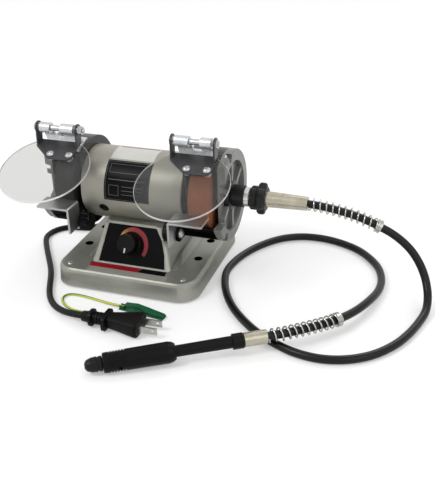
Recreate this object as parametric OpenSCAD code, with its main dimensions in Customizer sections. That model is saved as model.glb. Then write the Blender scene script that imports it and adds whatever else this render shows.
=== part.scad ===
// Small bench grinder with two 75 mm wheels, tilting clear eye shields, a speed
// dial, and a flexible shaft that drives a handpiece from the right-hand end.
// Millimetres. The origin is on the floor under the middle of the base. +X runs
// to the right along the motor axis and +Y runs to the back.

/* [Base] */
// Width of the base casting at its foot
base_w = 145; // [136:1:170]
// Depth of the base casting at its foot
base_d = 147; // [140:1:170]
// Height of the flat top of the base above the floor
base_h = 20; // [18:0.5:24]
// Radius of the corners of the base
base_corner_r = 20; // [14:1:26]
// Slope of the base's skirt, as the inset of its top edge
base_draft = 2; // [1:0.5:4]
// Wall of the base casting
base_wall = 3; // [2.5:0.5:4]
// Height of the rubber feet below the casting
foot_gap = 2; // [1:0.5:4]
// Radius of a rubber foot
foot_r = 6.5; // [5:0.5:7]
// Radius of the bench mounting holes
mount_hole_r = 4; // [3:0.25:5]
// Side-to-side distance of the mounting holes
mount_span_x = 117; // [112:1:120]
// Front-to-back distance of the mounting holes
mount_span_y = 38; // [30:1:60]

/* [Motor] */
// Height of the motor axis above the floor
axis_z = 82.5; // [80:0.5:95]
// Distance of the motor axis behind the middle of the base
axis_y = 1.5; // [-2:0.5:4]
// Sideways place of the motor's middle
motor_x = -2.5; // [-5:0.5:2]
// Radius of the motor housing
motor_r = 35.5; // [34:0.5:37]
// Wall of the motor housing
motor_wall = 2.5; // [2:0.5:3]
// Half the length of the motor housing
motor_half = 51; // [48:1:56]
// Radius of the rotor shaft
shaft_r = 5; // [4.5:0.25:6]
// Running clearance of the shaft in its bearings
shaft_play = 0.04; // [0.02:0.01:0.08]
// Outer radius of a shaft bearing
bearing_r = 13; // [12:0.5:14]
// Width of a shaft bearing
bearing_w = 8; // [6:0.5:9]

/* [Wheels] */
// Radius of a grinding wheel
wheel_r = 37.5; // [34:0.5:38]
// Width of a grinding wheel
wheel_w = 20; // [16:0.5:20]
// Gap from the guard's inner wall to the wheel
wheel_gap = 5; // [4:0.5:7]
// Radius of a wheel flange
flange_r = 13; // [11:0.5:16]
// Thickness of a wheel flange
flange_t = 2.4; // [2:0.1:2.6]

/* [Guards] */
// Outer radius of a wheel guard
guard_r = 44; // [43.5:0.5:48]
// Wall of a wheel guard
guard_t = 2; // [1.5:0.25:2.5]
// Width of a guard from its inner face to its cover
guard_w = 33; // [32:0.5:38]
// Distance from the axis to the front edge of the guard above the mouth's sill
mouth_v = 25.5; // [22:0.5:28]
// Depth of the mouth's sill below the axis
sill_w = 18; // [15:0.5:20]
// Thickness of a guard cover at its rim
cover_t = 7.5; // [6:0.5:8]
// Radius at which the cover screws stand
screw_ring_r = 41.2; // [41.2:0.2:44]

/* [Eye shields] */
// Distance of the shield hinge in front of the motor axis
hinge_v = 36.5; // [34:0.5:40]
// Height of the shield hinge above the motor axis
hinge_w = 64.5; // [60:0.5:70]
// Width of a shield plate over its two ears
ear_span = 38; // [34:0.5:40]
// Thickness of the shield plate
plate_t = 1.6; // [1:0.1:2]
// Radius of the hinge bolt
hinge_bolt_r = 2; // [1.5:0.1:2.5]
// Radius of a rolled hinge knuckle
knuckle_r = 5; // [4:0.25:5.5]
// Radius of a round shield lens
lens_r = 42.5; // [40:0.5:46]
// Thickness of a shield lens
lens_t = 2; // [1.5:0.25:3]
// Forward slope of a shield lens below the level
lens_slope = 20.4; // [10:0.2:30]

/* [Tool rests] */
// Width of a tool rest
rest_w = 33; // [28:0.5:36]
// Depth of the plate of a tool rest
rest_d = 21; // [16:0.5:21]
// Thickness of the steel of a tool rest
rest_t = 2; // [1.5:0.25:2.5]
// Height of a tool rest's flange
rest_h = 25.5; // [24:0.5:30]
// Radius of a rest knob
rest_knob_r = 9.5; // [8:0.5:10]

/* [Speed dial] */
// Radius of the speed dial
dial_r = 13.5; // [10:0.5:15]
// Height of the speed dial
dial_h = 12; // [8:0.5:14]
// Slope of the control panel from the level
panel_slope = 61.6; // [58:0.2:65]

/* [Flexible shaft] */
// Radius of the flexible shaft's sheath
sheath_r = 3.75; // [3:0.25:4]
// Radius of the lobed coupling nut
nut_r = 15; // [13:0.5:17]
// Radius of the coupling sleeve at the nut
sleeve_r = 7.6; // [7.4:0.1:8.6]
// Radius of the coupling sleeve at its far end
sleeve_tip_r = 6.4; // [6.2:0.1:7.2]
// Length of the strain relief springs
spring_l = 65; // [60:1:72]
// Radius to the wire of a strain relief spring
spring_coil_r = 5.6; // [5:0.1:6.5]
// Radius of the spring wire
spring_wire_r = 0.75; // [0.5:0.05:0.8]
// Length of the ring that ends a spring
spring_ring_l = 4.5; // [3:0.5:6]

/* [Handpiece] */
// Largest radius of the handpiece
hp_r = 9.2; // [8.4:0.2:9.4]
// Radius of the tool bore in the collet
collet_bore_r = 1.6; // [1:0.1:2]

/* [Cord] */
// Radius of the mains cord
cord_r = 3; // [2.5:0.25:3.5]
// Radius of the earth wire
earth_r = 1.2; // [1:0.1:1.5]

/* [Hidden] */
$fn = 48;

fit_gap = 0.3;
hair = 0.1;
press_gap = 0.02;

// Stations along the motor axis, measured outwards from the motor's middle
guard_in = motor_half + fit_gap;
guard_out = guard_in + guard_w;
wheel_in = guard_in + guard_t + wheel_gap;
wheel_out = wheel_in + wheel_w;
wheel_mid = wheel_in + wheel_w / 2;
cover_out = guard_out + cover_t;
wheel_nut_h = 5;
shaft_end = wheel_out + flange_t + wheel_nut_h + 0.6;
bell_t = 4;

// The union, the coupling nut and the sleeve at the right-hand end
nose_end = cover_out + 11.7;
ring_end = nose_end + 5;
union_end = ring_end + 9;
nut_start = ring_end + 0.8;
nut_end = nut_start + 14.8;
sleeve_start = union_end + fit_gap;
sleeve_end = nut_end + 39;
union_r = 8;

// Lug and bolt of a tool rest, from the motor axis
lug_v = -44;
lug_w = -24;
lug_r = 8;
rest_bolt_r = 2.4;
rest_top_w = -3;
rest_back_v = -45.5;
rest_in_travel = 3.5;
rest_out_travel = 2;
rest_u = guard_in - 0.2 - rest_t;

// Screw places on the guard's rim, as angles about the motor axis
screw_angles = [101.5, 232.5, 343];
bolt_angles = [60, 180, 300];
screw_lobe_r = 3.1;
cover_rim_w = 10.5;
screw_lobe_l = 12;

// The pedestal under the motor, from its foot to its top
ped_top_z = axis_z - 26.5;
ped_front_y = -52.5;
ped_back_y = 46;
ped_left = -40;
ped_right = 41.5;
ped_top_inset = 10;
panel_x = -1.5;
panel_z = base_h;
panel_len = (ped_top_z - base_h) / sin(panel_slope);
dial_up = 22;
pot_bush_r = 3.5;
pot_shaft_r = 3;

// The cord's coil behind the base, and its gland
gland_x = -30;
gland_z = 11;
coil_turn_r = 32.7;
coil_x = gland_x - coil_turn_r - 2 * cord_r;
coil_y = 126;
coil_rows = 3;
coil_layers = 2;
gland_l = 20;

// Route of the mains cord from its gland to the coil
lead_route = [[-30, 93.5, 11], [-30, 98, 10.9], [-30, 103, 10.5], [-30, 109, 10]];
// Last turn of the coil, which lies outside the others on the floor
outer_turn_r = coil_turn_r + 4 * cord_r;
outer_turn = [for (a = [-75 : 15 : 180]) [coil_x + outer_turn_r * cos(a), coil_y + outer_turn_r * sin(a), cord_r]];
// Route of the mains cord from the coil to the plug
cord_route = [[-113.4, 116, 3], [-112.1, 108, 3], [-109, 101.5, 3], [-104.1, 96.1, 3],
    [-98.1, 91.1, 3], [-92.1, 86, 3], [-86.1, 81, 3], [-81.6, 76, 3], [-78.5, 69.6, 3],
    [-77.5, 62.6, 3], [-78.7, 55.2, 3], [-82.1, 48.5, 3], [-87.4, 43.2, 3], [-94.1, 39.8, 3],
    [-101.5, 38.6, 3], [-108.9, 37.4, 3], [-115.6, 34, 3], [-120.9, 28.7, 3], [-124.3, 22, 3],
    [-125.5, 14.6, 3], [-124.7, 8.4, 3], [-122.3, 2.6, 3], [-118, -4.9, 3], [-112.5, -13.5, 3],
    [-105, -24.8, 3], [-97, -36.5, 3], [-89, -48.5, 3], [-81.5, -61.5, 3], [-74.5, -76, 3],
    [-67.5, -90, 3], [-59.5, -102.2, 3], [-49.5, -112.2, 3.5], [-38, -119.5, 5],
    [-25.5, -124.3, 7], [-14, -126, 8]];
// Route of the earth wire from the cord to its clip
earth_route = [[-10, -123, 8], [-16, -120.3, 7.6], [-24, -116, 5], [-33, -111, 2], [-42, -106, 1.4],
    [-49, -99, 1.3], [-51, -92, 1.3], [-47, -87, 1.3], [-38, -86, 1.3], [-26, -87.5, 1.3],
    [-12, -90, 1.4], [-1, -92.4, 2], [6, -93.3, 2.4], [12.2, -94.1, 2.4]];
// Route of the flexible shaft from the coupling sleeve to the handpiece
sheath_route = [[164.8, 1.5, 82.3], [172, 1.5, 81.8], [182.1, 1.5, 80.6], [193.7, 1.5, 78.6],
    [205.2, 1.5, 76.1], [216.3, 1.5, 72.5], [227.1, 2.7, 67.6], [237.6, 4.4, 61.8],
    [247.4, 5.7, 54.6], [256.4, 5.8, 46.3], [263.9, 4.2, 37.1], [270, 0.2, 27.7],
    [274.4, -6.4, 18.9], [277, -16.1, 11.3], [277, -29.3, 5.8], [273, -46, 3.8], [266, -68, 3.8],
    [256, -88, 3.8], [241, -106, 3.8], [222, -118, 3.8], [201, -123, 3.8], [179, -120.5, 3.8],
    [159, -112, 3.8], [141, -101, 3.8], [125, -87, 3.8], [110, -70, 3.8], [98, -51, 3.8],
    [89, -30, 3.8], [84, -8, 3.8], [86, 14, 3.8], [93, 36, 3.8], [104, 56, 3.8], [119, 73, 3.8],
    [138, 83, 3.8], [160, 85, 3.8], [181, 80, 3.8], [200, 70, 3.8], [215, 55, 3.8], [226, 37, 3.8],
    [231.5, 16, 3.8], [231.5, -5, 5], [227.5, -26, 7.4], [221, -46.7, 9.7], [214.5, -60.8, 11],
    [207.7, -72, 12.1], [199.2, -82.5, 13], [189.9, -91.9, 13.6], [180.4, -100.1, 13.9]];

// Place of the handpiece: its nose, its heading and its tilt
hp_x = 21.6;
hp_y = -193.0;
hp_z = 8.05;
hp_turn = 29.5;
hp_tilt = 2.08;
hp_body_start = 15;
hp_body_end = 75;
hp_tail_end = 132.5;
hp_sleeve_end = 153;
hp_sleeve_r = 6.2;

// A straight bar along X between two stations
module xbar(r, x0, x1) {
    translate([x0, 0, 0]) rotate([0, 90, 0]) cylinder(r = r, h = x1 - x0);
}

// A turned part about the X axis, from a profile of radius and station
module xturned(points) {
    rotate([0, 90, 0]) rotate_extrude() polygon(points);
}

// Puts a right-hand part on the motor axis, mirrored for the left side
module on_side(s) {
    translate([motor_x, axis_y, axis_z]) mirror([s < 0 ? 1 : 0, 0, 0]) children();
}

// A hexagon bar along X, by its width across flats
module xhex(flats, x0, x1) {
    translate([x0, 0, 0]) rotate([0, 90, 0]) cylinder(r = flats / 2 / cos(30), h = x1 - x0, $fn = 6);
}

// A thin slab with round corners, for tapered castings
module slab(x0, x1, y0, y1, r, z, h) {
    for (x = [x0 + r, x1 - r], y = [y0 + r, y1 - r])
        translate([x, y, z]) cylinder(r = r, h = h, $fn = 32);
}

// A base slab, inset on all sides
module base_slab(inset, z, h) {
    slab(-base_w / 2 + inset, base_w / 2 - inset, -base_d / 2 + inset, base_d / 2 - inset,
        base_corner_r - inset, z, h);
}

// A point on a smooth curve through four points
function blend4(a, b, c, d, t) =
    0.5 * ((2 * b) + (c - a) * t + (2 * a - 5 * b + 4 * c - d) * t * t
        + (3 * b - a - 3 * c + d) * t * t * t);
// A smooth curve through a route, with some steps for each stretch
function smooth(p, steps) = let(n = len(p)) concat(
    [for (i = [0 : n - 2], k = [0 : steps - 1])
        blend4(p[max(i - 1, 0)], p[i], p[i + 1], p[min(i + 2, n - 1)], k / steps)],
    [p[n - 1]]);
function unit(v) = v / norm(v);
// Directions along a curve
function headings(p) = let(n = len(p))
    [for (i = [0 : n - 1]) unit(p[min(i + 1, n - 1)] - p[max(i - 1, 0)])];
// Side directions carried along a curve without twist
function carried(t, i, last) = i == len(t) ? [] :
    let(s = unit(last - (last * t[i]) * t[i])) concat([s], carried(t, i + 1, s));
// Length of a curve up to each of its points
function reach(p, i = 0, total = 0) = i == len(p) ? [] :
    let(here = i == 0 ? 0 : total + norm(p[i] - p[i - 1])) concat([here], reach(p, i + 1, here));

// A round tube swept along a curve
module swept_tube(p, r, sides) {
    t = headings(p);
    s = carried(t, 0, abs(t[0].z) > 0.9 ? [1, 0, 0] : [0, 0, 1]);
    n = len(p);
    pts = [for (i = [0 : n - 1], k = [0 : sides - 1]) let(a = 360 * k / sides)
        p[i] + r * (cos(a) * s[i] + sin(a) * cross(t[i], s[i]))];
    walls = [for (i = [0 : n - 2], k = [0 : sides - 1]) let(m = (k + 1) % sides)
        [i * sides + k, (i + 1) * sides + k, (i + 1) * sides + m, i * sides + m]];
    first = [for (k = [0 : sides - 1]) k];
    last = [for (k = [0 : sides - 1]) n * sides - 1 - k];
    polyhedron(points = pts, faces = concat(walls, [first], [last]));
}

// A point on a curve at some distance along it
function along(p, far) = let(
    d = reach(p),
    i = max([for (j = [0 : len(d) - 2]) d[j] <= far ? j : 0]),
    f = (far - d[i]) / (d[i + 1] - d[i]))
    p[i] + f * (p[i + 1] - p[i]);

// Wire of a coil spring wound about a curve
function spring_wire(p, length, coil_r, turns, per_turn) =
    let(t = headings(p), s = carried(t, 0, [0, 0, 1]), d = reach(p))
    [for (k = [0 : turns * per_turn]) let(
        a = 360 * k / per_turn,
        far = spring_wire_r + hair + length * k / (turns * per_turn),
        i = max([for (j = [0 : len(d) - 2]) d[j] <= far ? j : 0]),
        f = (far - d[i]) / (d[i + 1] - d[i]),
        mid = p[i] + f * (p[i + 1] - p[i]),
        side = unit(s[i] + f * (s[i + 1] - s[i])),
        over = cross(t[i], side))
        mid + coil_r * (cos(a) * side + sin(a) * over)];

// The D-shaped outline of a guard as a solid, open in front above the sill
module guard_form(r, u0, u1) {
    difference() {
        xbar(r, u0, u1);
        translate([u0 - 1, -r - 1, -sill_w]) cube([u1 - u0 + 2, r + 1 - mouth_v, 2 * r]);
    }
}

// Places that turn about the motor axis
module at_angle(a, r) {
    translate([0, r * cos(a), r * sin(a)]) children();
}

// ---- base -------------------------------------------------------------

// The pedestal under the motor, grown or shrunk by a margin
module pedestal_form(margin, z0) {
    r = 5 + margin;
    foot_y0 = ped_front_y - margin;
    top_y0 = ped_front_y + panel_len * cos(panel_slope) - margin;
    hull() {
        slab(ped_left - margin, ped_right + margin, foot_y0, ped_back_y + margin, r, z0, 0.5);
        slab(ped_left - margin, ped_right + margin, foot_y0 , ped_back_y + margin, r, base_h - 0.5, 0.5);
        slab(ped_left + ped_top_inset - margin, ped_right - ped_top_inset - 1 + margin, top_y0,
            ped_back_y - 8 + margin, r, ped_top_z + margin - 0.5, 0.5);
    }
}

module mounting_places() {
    for (x = [-1, 1], y = [-1, 1])
        translate([x * mount_span_x / 2, y * mount_span_y / 2, 0]) children();
}

module corner_places() {
    for (x = [-1, 1], y = [-1, 1])
        translate([x * (base_w / 2 - 14.5), y * (base_d / 2 - 12.5), 0]) children();
}

// Frame on the sloped front: X to the right, Y up the slope, Z outwards
module on_panel() {
    translate([panel_x, ped_front_y, panel_z]) rotate([panel_slope, 0, 0]) children();
}

module panel_outline(grow) {
    polygon([[-32 - grow, 2 - grow], [37.5 + grow, 2 - grow], [35.5 + grow, 15], [31 + grow, 29],
        [24.5 + grow, panel_len - 1.5 + grow], [-25.5 - grow, panel_len - 1.5 + grow]]);
}

module base_casting() {
    color("silver") difference() {
        union() {
            hull() {
                base_slab(0, foot_gap, 1);
                base_slab(base_draft * 0.6, base_h - 4, 0.5);
                base_slab(base_draft, base_h - 1.6, 0.4);
                base_slab(base_draft + 1.6, base_h - 0.3, 0.3);
            }
            pedestal_form(0, base_h - 2);
            // Low fillet that spreads the pedestal's foot over the base
            hull() {
                slab(ped_left - 7, ped_right + 7, ped_front_y + 5, ped_back_y + 9, 8, base_h - 2, 2.2);
                slab(ped_left - 1, ped_right + 1, ped_front_y + 26, ped_back_y + 2, 6, base_h + 5, 0.5);
            }
        }
        // Hollow underside and hollow pedestal
        hull() {
            base_slab(base_wall, -1, 0.5);
            base_slab(base_wall + base_draft, base_h - base_wall - 0.5, 0.5);
        }
        intersection() {
            pedestal_form(-base_wall, -1);
            translate([-100, -100, -1]) cube([200, 200, ped_top_z]);
        }
        // Saddle that the motor lies in
        translate([0, axis_y, axis_z]) xbar(motor_r + hair, -80, 80);
        // Seat and window of the control panel
        on_panel() translate([0, 0, -1]) linear_extrude(5) panel_outline(0.2);
        on_panel() translate([0, dial_up, -12]) cylinder(r = pot_bush_r + 0.2, h = 14);
        // Gland hole in the back wall
        translate([gland_x, base_d / 2 - base_wall - 6, gland_z]) rotate([-90, 0, 0]) cylinder(r = 5, h = 20);
        mounting_places() translate([0, 0, -1]) cylinder(r = mount_hole_r, h = base_h + 10);
        corner_places() translate([0, 0, base_h - 2]) cylinder(r = 3.4, h = 5);
        corner_places() translate([0, 0, -1]) cylinder(r = 1.8, h = base_h + 5);
    }
    // Bosses for the bench bolts, level with the feet, and for the foot screws
    color("silver") mounting_places() difference() {
        cylinder(r = mount_hole_r + 3, h = base_h - base_wall + 0.5);
        translate([0, 0, -1]) cylinder(r = mount_hole_r, h = base_h + 10);
    }
    color("silver") for (x = [-1, 1], y = [-1, 1])
        translate([x * (base_w / 2 - 28), y * (base_d / 2 - 12.5), foot_gap + 1.7])
        cylinder(r = 3, h = base_h - base_wall - foot_gap - 1);
    color("silver") corner_places() difference() {
        translate([0, 0, foot_gap + 3]) cylinder(r = 5, h = base_h - base_wall - foot_gap - 2.5);
        translate([0, 0, -1]) cylinder(r = 1.8, h = base_h + 10);
    }
}

// Sheet that closes the underside between the bosses
module bottom_cover() {
    color("dimgray") difference() {
        translate([-base_w / 2 + 22, -base_d / 2 + base_wall + 1, foot_gap + 0.4])
            cube([base_w - 44, base_d - 2 * base_wall - 2, 1.2]);
        for (k = [-3 : 3]) translate([-20, k * 9 - 1.5, 0]) cube([40, 3, 10]);
    }
}

module rubber_feet() {
    color([0.08, 0.08, 0.08]) corner_places() difference() {
        cylinder(r1 = foot_r - 1, r2 = foot_r, h = foot_gap + 3 - hair);
        translate([0, 0, -1]) cylinder(r = 1.7, h = 10);
    }
}

module base_screws() {
    color("gainsboro") corner_places() {
        translate([0, 0, base_h - 2 + hair]) cylinder(r = 3, h = 1.7);
        translate([0, 0, 1.2]) cylinder(r = 1.6, h = base_h - 3 + hair);
    }
}

module control_panel() {
    color([0.07, 0.07, 0.08]) on_panel() difference() {
        translate([0, 0, -1 + hair / 2]) linear_extrude(1.2) panel_outline(0);
        translate([0, dial_up, -3]) cylinder(r = pot_bush_r + 0.2, h = 8);
    }
}

module dial_potentiometer() {
    color("dimgray") on_panel() translate([0, dial_up, 0]) {
        translate([0, 0, -14.5]) cylinder(r = 8, h = 9.5);
        translate([0, 0, -5.2]) cylinder(r = pot_bush_r, h = 6);
        translate([0, 0, 0.5]) cylinder(r = pot_shaft_r, h = 7.5);
        translate([-7, -11.5, -12]) cube([14, 5, 1.6]);
    }
}

module control_board() {
    color("darkgreen") translate([-26, -22, 6.5]) cube([50, 40, 1.6]);
    color("silver") translate([-22, -18, 8.1]) {
        cube([3, 22, 9]);
        for (k = [0 : 4]) translate([3, k * 5, 0]) cube([6, 1.2, 9]);
    }
    color("orange") translate([8, -8, 8.1]) cylinder(r = 5, h = 8);
    color("black") translate([8, 8, 8.1]) cylinder(r = 4, h = 7);
    // Stand-offs from the bottom cover
    color("ivory") for (x = [-23, 21], y = [-19, 15])
        translate([x, y, foot_gap + 1.7]) cylinder(r = 1.8, h = 4.7 - foot_gap);
}

// ---- motor --------------------------------------------------------------

brush_angle = 203.4;
brush_u = 29.4;

module motor_housing() {
    color([0.72, 0.71, 0.67]) translate([motor_x, axis_y, axis_z]) difference() {
        xturned([[motor_r - motor_wall, -motor_half], [motor_r - 0.6, -motor_half],
            [motor_r, -motor_half + 0.6], [motor_r, motor_half - 0.6],
            [motor_r - 0.6, motor_half], [motor_r - motor_wall, motor_half]]);
        for (a = [brush_angle, brush_angle - 180]) translate([-brush_u, 0, 0])
            rotate([a, 0, 0]) translate([0, motor_r - 8, 0]) rotate([-90, 0, 0])
            cylinder(r = 5.2, h = 12);
    }
}

// Outline of an end bell, with its bearing boss turned inwards
module end_bell_solid() {
    difference() {
        xturned([[shaft_r + 2.5, motor_half - 1], [shaft_r + 2.5, motor_half],
            [motor_r - motor_wall - press_gap, motor_half],
            [motor_r - motor_wall - press_gap, motor_half - bell_t - 6],
            [motor_r - motor_wall - 2.5, motor_half - bell_t - 6],
            [motor_r - motor_wall - 2.5, motor_half - bell_t],
            [bearing_r + 3, motor_half - bell_t], [bearing_r + 3, motor_half - 1 - bearing_w - 1],
            [bearing_r + press_gap, motor_half - 1 - bearing_w - 1],
            [bearing_r + press_gap, motor_half - 1]]);
        for (a = [0 : 60 : 300]) at_angle(a, 23) xbar(3.2, motor_half - 10, motor_half + 1);
        for (a = bolt_angles) at_angle(a + 30, 23) xbar(1.6, motor_half - 10, motor_half + 1);
    }
}

module end_bell_left() {
    color([0.16, 0.16, 0.17]) on_side(-1) end_bell_solid();
}

module end_bell_right() {
    color([0.16, 0.16, 0.17]) on_side(1) end_bell_solid();
}

module shaft_bearings() {
    color("lightgray") for (s = [-1, 1]) on_side(s)
        xturned([[shaft_r + shaft_play, motor_half - 1.2 - bearing_w],
            [bearing_r, motor_half - 1.2 - bearing_w], [bearing_r, motor_half - 1.2],
            [shaft_r + shaft_play, motor_half - 1.2]]);
}

stator_half = 18;
ring_in = motor_r - motor_wall - 2.9;
shoe_top = ring_in - 7.6;
coil_low = shoe_top + fit_gap;
coil_t = 3.2;
coil_half = sqrt(pow(ring_in - 0.4, 2) - pow(coil_low + coil_t, 2));
stem_half = 10;
pole_r = shoe_top - 1.9;
stator_x = 4;
fan_r = motor_r - 7.5;

module stator_core() {
    color("gray") translate([motor_x + stator_x, axis_y, axis_z]) rotate([0, 90, 0])
        translate([0, 0, -stator_half]) linear_extrude(2 * stator_half) difference() {
            union() {
                difference() {
                    circle(r = motor_r - motor_wall - press_gap);
                    circle(r = ring_in);
                }
                for (m = [0, 1]) mirror([m, 0]) intersection() {
                    circle(r = ring_in + 1);
                    union() {
                        translate([15, -stem_half]) square([20, 2 * stem_half]);
                        translate([15, -14.5]) square([shoe_top - 15, 29]);
                    }
                }
            }
            circle(r = pole_r);
        }
}

module field_coils() {
    color("peru") translate([motor_x + stator_x, axis_y, axis_z]) for (m = [0, 1])
        rotate([180 * m, 0, 0]) translate([0, 0, coil_low]) difference() {
            translate([-stator_half - 5, -coil_half, 0]) cube([2 * stator_half + 10, 2 * coil_half, coil_t]);
            translate([-stator_half - fit_gap, -stem_half - fit_gap, -1])
                cube([2 * (stator_half + fit_gap), 2 * (stem_half + fit_gap), coil_t + 2]);
        }
}

module brush_frame() {
    translate([motor_x - brush_u, axis_y, axis_z]) for (a = [brush_angle, brush_angle - 180])
        rotate([a, 0, 0]) rotate([-90, 0, 0]) children();
}

comm_r = 10.5;

module brush_holders() {
    color("goldenrod") brush_frame() difference() {
        translate([0, 0, comm_r + 2.5]) cylinder(r = 5, h = motor_r - comm_r - 6);
        translate([-2.6, -3.6, comm_r]) cube([5.2, 7.2, 40]);
    }
}

module carbon_brushes() {
    color([0.15, 0.15, 0.15]) brush_frame()
        translate([-2.5, -3.5, comm_r + fit_gap]) cube([5, 7, 12]);
}

module brush_caps() {
    color([0.1, 0.1, 0.1]) brush_frame() difference() {
        translate([0, 0, motor_r - 3.4]) cylinder(r = 5, h = 2.2);
        translate([-4, -0.6, motor_r - 2]) cube([8, 1.2, 4]);
    }
}

// ---- guards -------------------------------------------------------------

// A screw post in the rim of a guard
module guard_ear(a, u0, u1) {
    at_angle(a, screw_ring_r) xbar(screw_lobe_r, u0, u1);
}

// Rounded lug that carries the tool rest in front of the inner wall
module rest_lug() {
    translate([guard_in, 0, 0]) rotate([90, 0, 90]) linear_extrude(guard_t) {
        translate([lug_v, lug_w]) circle(r = lug_r);
        polygon([[lug_v, lug_w + lug_r], [-26, lug_w + lug_r], [-22, -33],
            [lug_v + 2.5, lug_w - lug_r + 0.4], [lug_v - 2, lug_w - lug_r + 0.3]]);
    }
}

module guard_solid() {
    difference() {
        union() {
            difference() {
                guard_form(guard_r, guard_in, guard_out);
                xbar(guard_r - guard_t, guard_in + guard_t, guard_out + 1);
            }
            for (a = screw_angles) guard_ear(a, guard_out - screw_lobe_l, guard_out);
            rest_lug();
        }
        xbar(bearing_r + 2, guard_in - 1, guard_in + guard_t + 1);
        for (a = screw_angles) at_angle(a, screw_ring_r) xbar(1.3, guard_out - 9, guard_out + 1);
        for (a = bolt_angles) at_angle(a + 30, 23) xbar(2.1, guard_in - 1, guard_in + guard_t + 1);
        translate([0, lug_v, lug_w]) xbar(rest_bolt_r + 0.2, guard_in - 1, guard_in + guard_t + 1);
        for (u = [0, 1]) bracket_hole(u) cylinder(r = 1.7, h = 12);
    }
}

module guard_left() {
    color([0.14, 0.14, 0.14]) on_side(-1) guard_solid();
}

module guard_right() {
    color([0.14, 0.14, 0.14]) on_side(1) guard_solid();
}

// A guard cover: flat rim, sunk web, spokes and a hub
module cover_solid(hub_out, bore, nose_r) {
    web = guard_out + 2.2;
    rim_in = guard_r - cover_rim_w;
    difference() {
        union() {
            intersection() {
                guard_form(guard_r, guard_out, cover_out + 20);
                union() {
                    xturned([[bore, guard_out], [guard_r, guard_out], [guard_r, cover_out - 1],
                        [guard_r - 1, cover_out], [rim_in, cover_out], [rim_in - 0.8, web],
                        [15, web], [14, cover_out - 1], [nose_r, cover_out], [nose_r, hub_out - 1],
                        [nose_r - 1, hub_out], [bore, hub_out]]);
                    for (a = [30 : 60 : 330]) rotate([a, 0, 0])
                        translate([guard_out, 12, -2.2]) cube([cover_t - 1.2, guard_r - 15, 4.4]);
                }
            }
            for (a = screw_angles) guard_ear(a, guard_out, guard_out + 2.4);
        }
        for (a = screw_angles) at_angle(a, screw_ring_r) {
            xbar(1.7, guard_out - 1, guard_out + 5);
            xbar(4.2, guard_out + 2.4, cover_out + 5);
        }
        xbar(11, guard_out - 1, shaft_end + 0.8);
    }
}

module guard_cover_left() {
    color("darkgray") on_side(-1) cover_solid(cover_out + 1.5, 0, 11.5);
}

module guard_cover_right() {
    color("darkgray") on_side(1) cover_solid(nose_end, union_r + hair, 10.5);
}

module cover_screws() {
    color("gainsboro") for (s = [-1, 1]) on_side(s)
        for (a = screw_angles) at_angle(a, screw_ring_r) difference() {
            union() {
                xbar(1.25, guard_out - 8, guard_out + 2.5);
                xturned([[0, guard_out + 2.45], [2.9, guard_out + 2.45], [2.9, guard_out + 3.4],
                    [2, guard_out + 4.3], [0, guard_out + 4.3]]);
            }
            translate([guard_out + 3.5, -2, -0.35]) cube([2, 4, 0.7]);
            translate([guard_out + 3.5, -0.35, -2]) cube([2, 0.7, 4]);
        }
}

// Bolts that hold the guards to the end bells
module guard_bolts() {
    color("gainsboro") for (s = [-1, 1]) on_side(s)
        for (a = bolt_angles) at_angle(a + 30, 23) {
            xbar(1.55, motor_half - 7, guard_in + guard_t + 0.5);
            xhex(5.5, guard_in + guard_t + 0.05, guard_in + guard_t + 2.6);
        }
}

// ---- eye shields ----------------------------------------------------------

foot_u0 = guard_in + 2.5;
foot_u1 = guard_in + 19.5;
hinge_u = wheel_mid - 1.5;
foot_back = 100;
foot_front = 122;

// Places of the two screws of a shield bracket on the guard's roof
module bracket_hole(k) {
    rotate([foot_back + 7, 0, 0]) translate([foot_u0 + 4 + k * 9, 0, 0]) rotate([-90, 0, 0])
        translate([0, 0, guard_r - 6]) children();
}

// Zinc bracket: a curved foot on the roof, a leaf, and two rolled knuckles
module bracket_solid() {
    leaf_t = 1.8;
    foot_r0 = guard_r + hair;
    leaf_foot_r = foot_r0 + 0.4;
    leaf_v = leaf_foot_r * cos(foot_front - 1.5);
    leaf_w = leaf_foot_r * sin(foot_front - 1.5);
    top_v = -hinge_v + knuckle_r - leaf_t;
    top_w = hinge_w;
    leaf_l = norm([top_v - leaf_v, top_w - leaf_w]);
    leaf_a = atan2(top_w - leaf_w, top_v - leaf_v);
    half = ear_span / 2 - plate_t - 0.4;
    difference() {
        union() {
            // Curved foot
            intersection() {
                difference() {
                    xbar(foot_r0 + leaf_t, foot_u0, foot_u1);
                    xbar(foot_r0, foot_u0 - 1, foot_u1 + 1);
                }
                translate([foot_u0 - 1, 0, 0]) rotate([90, 0, 90]) linear_extrude(40)
                    polygon([[0, 0], [80 * cos(foot_back - 3), 80 * sin(foot_back - 3)],
                        [80 * cos(foot_front), 80 * sin(foot_front)]]);
            }
            // Leaf that rises to the knuckles
            translate([0, leaf_v, leaf_w]) rotate([leaf_a, 0, 0]) linear_extrude(leaf_t)
                polygon([[foot_u0, 0], [foot_u1, 0],
                    [hinge_u + half - hair, leaf_l * 0.45], [hinge_u + half - hair, leaf_l],
                    [hinge_u + 7 + hair, leaf_l], [hinge_u + 5, leaf_l * 0.62],
                    [hinge_u - 2, leaf_l * 0.62], [hinge_u - 4 - hair, leaf_l],
                    [hinge_u - half + hair, leaf_l], [hinge_u - half + hair, leaf_l * 0.45]]);
            translate([0, -hinge_v, hinge_w]) {
                xbar(knuckle_r, hinge_u - half, hinge_u - 4);
                xbar(knuckle_r, hinge_u + 7, hinge_u + half);
            }
        }
        translate([0, -hinge_v, hinge_w]) xbar(hinge_bolt_r + 0.05, hinge_u - 30, hinge_u + 30);
        for (k = [0, 1]) bracket_hole(k) cylinder(r = 1.7, h = 20);
    }
}

module shield_bracket_left() {
    color("lightsteelblue") on_side(-1) bracket_solid();
}

module shield_bracket_right() {
    color("lightsteelblue") on_side(1) bracket_solid();
}

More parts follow.
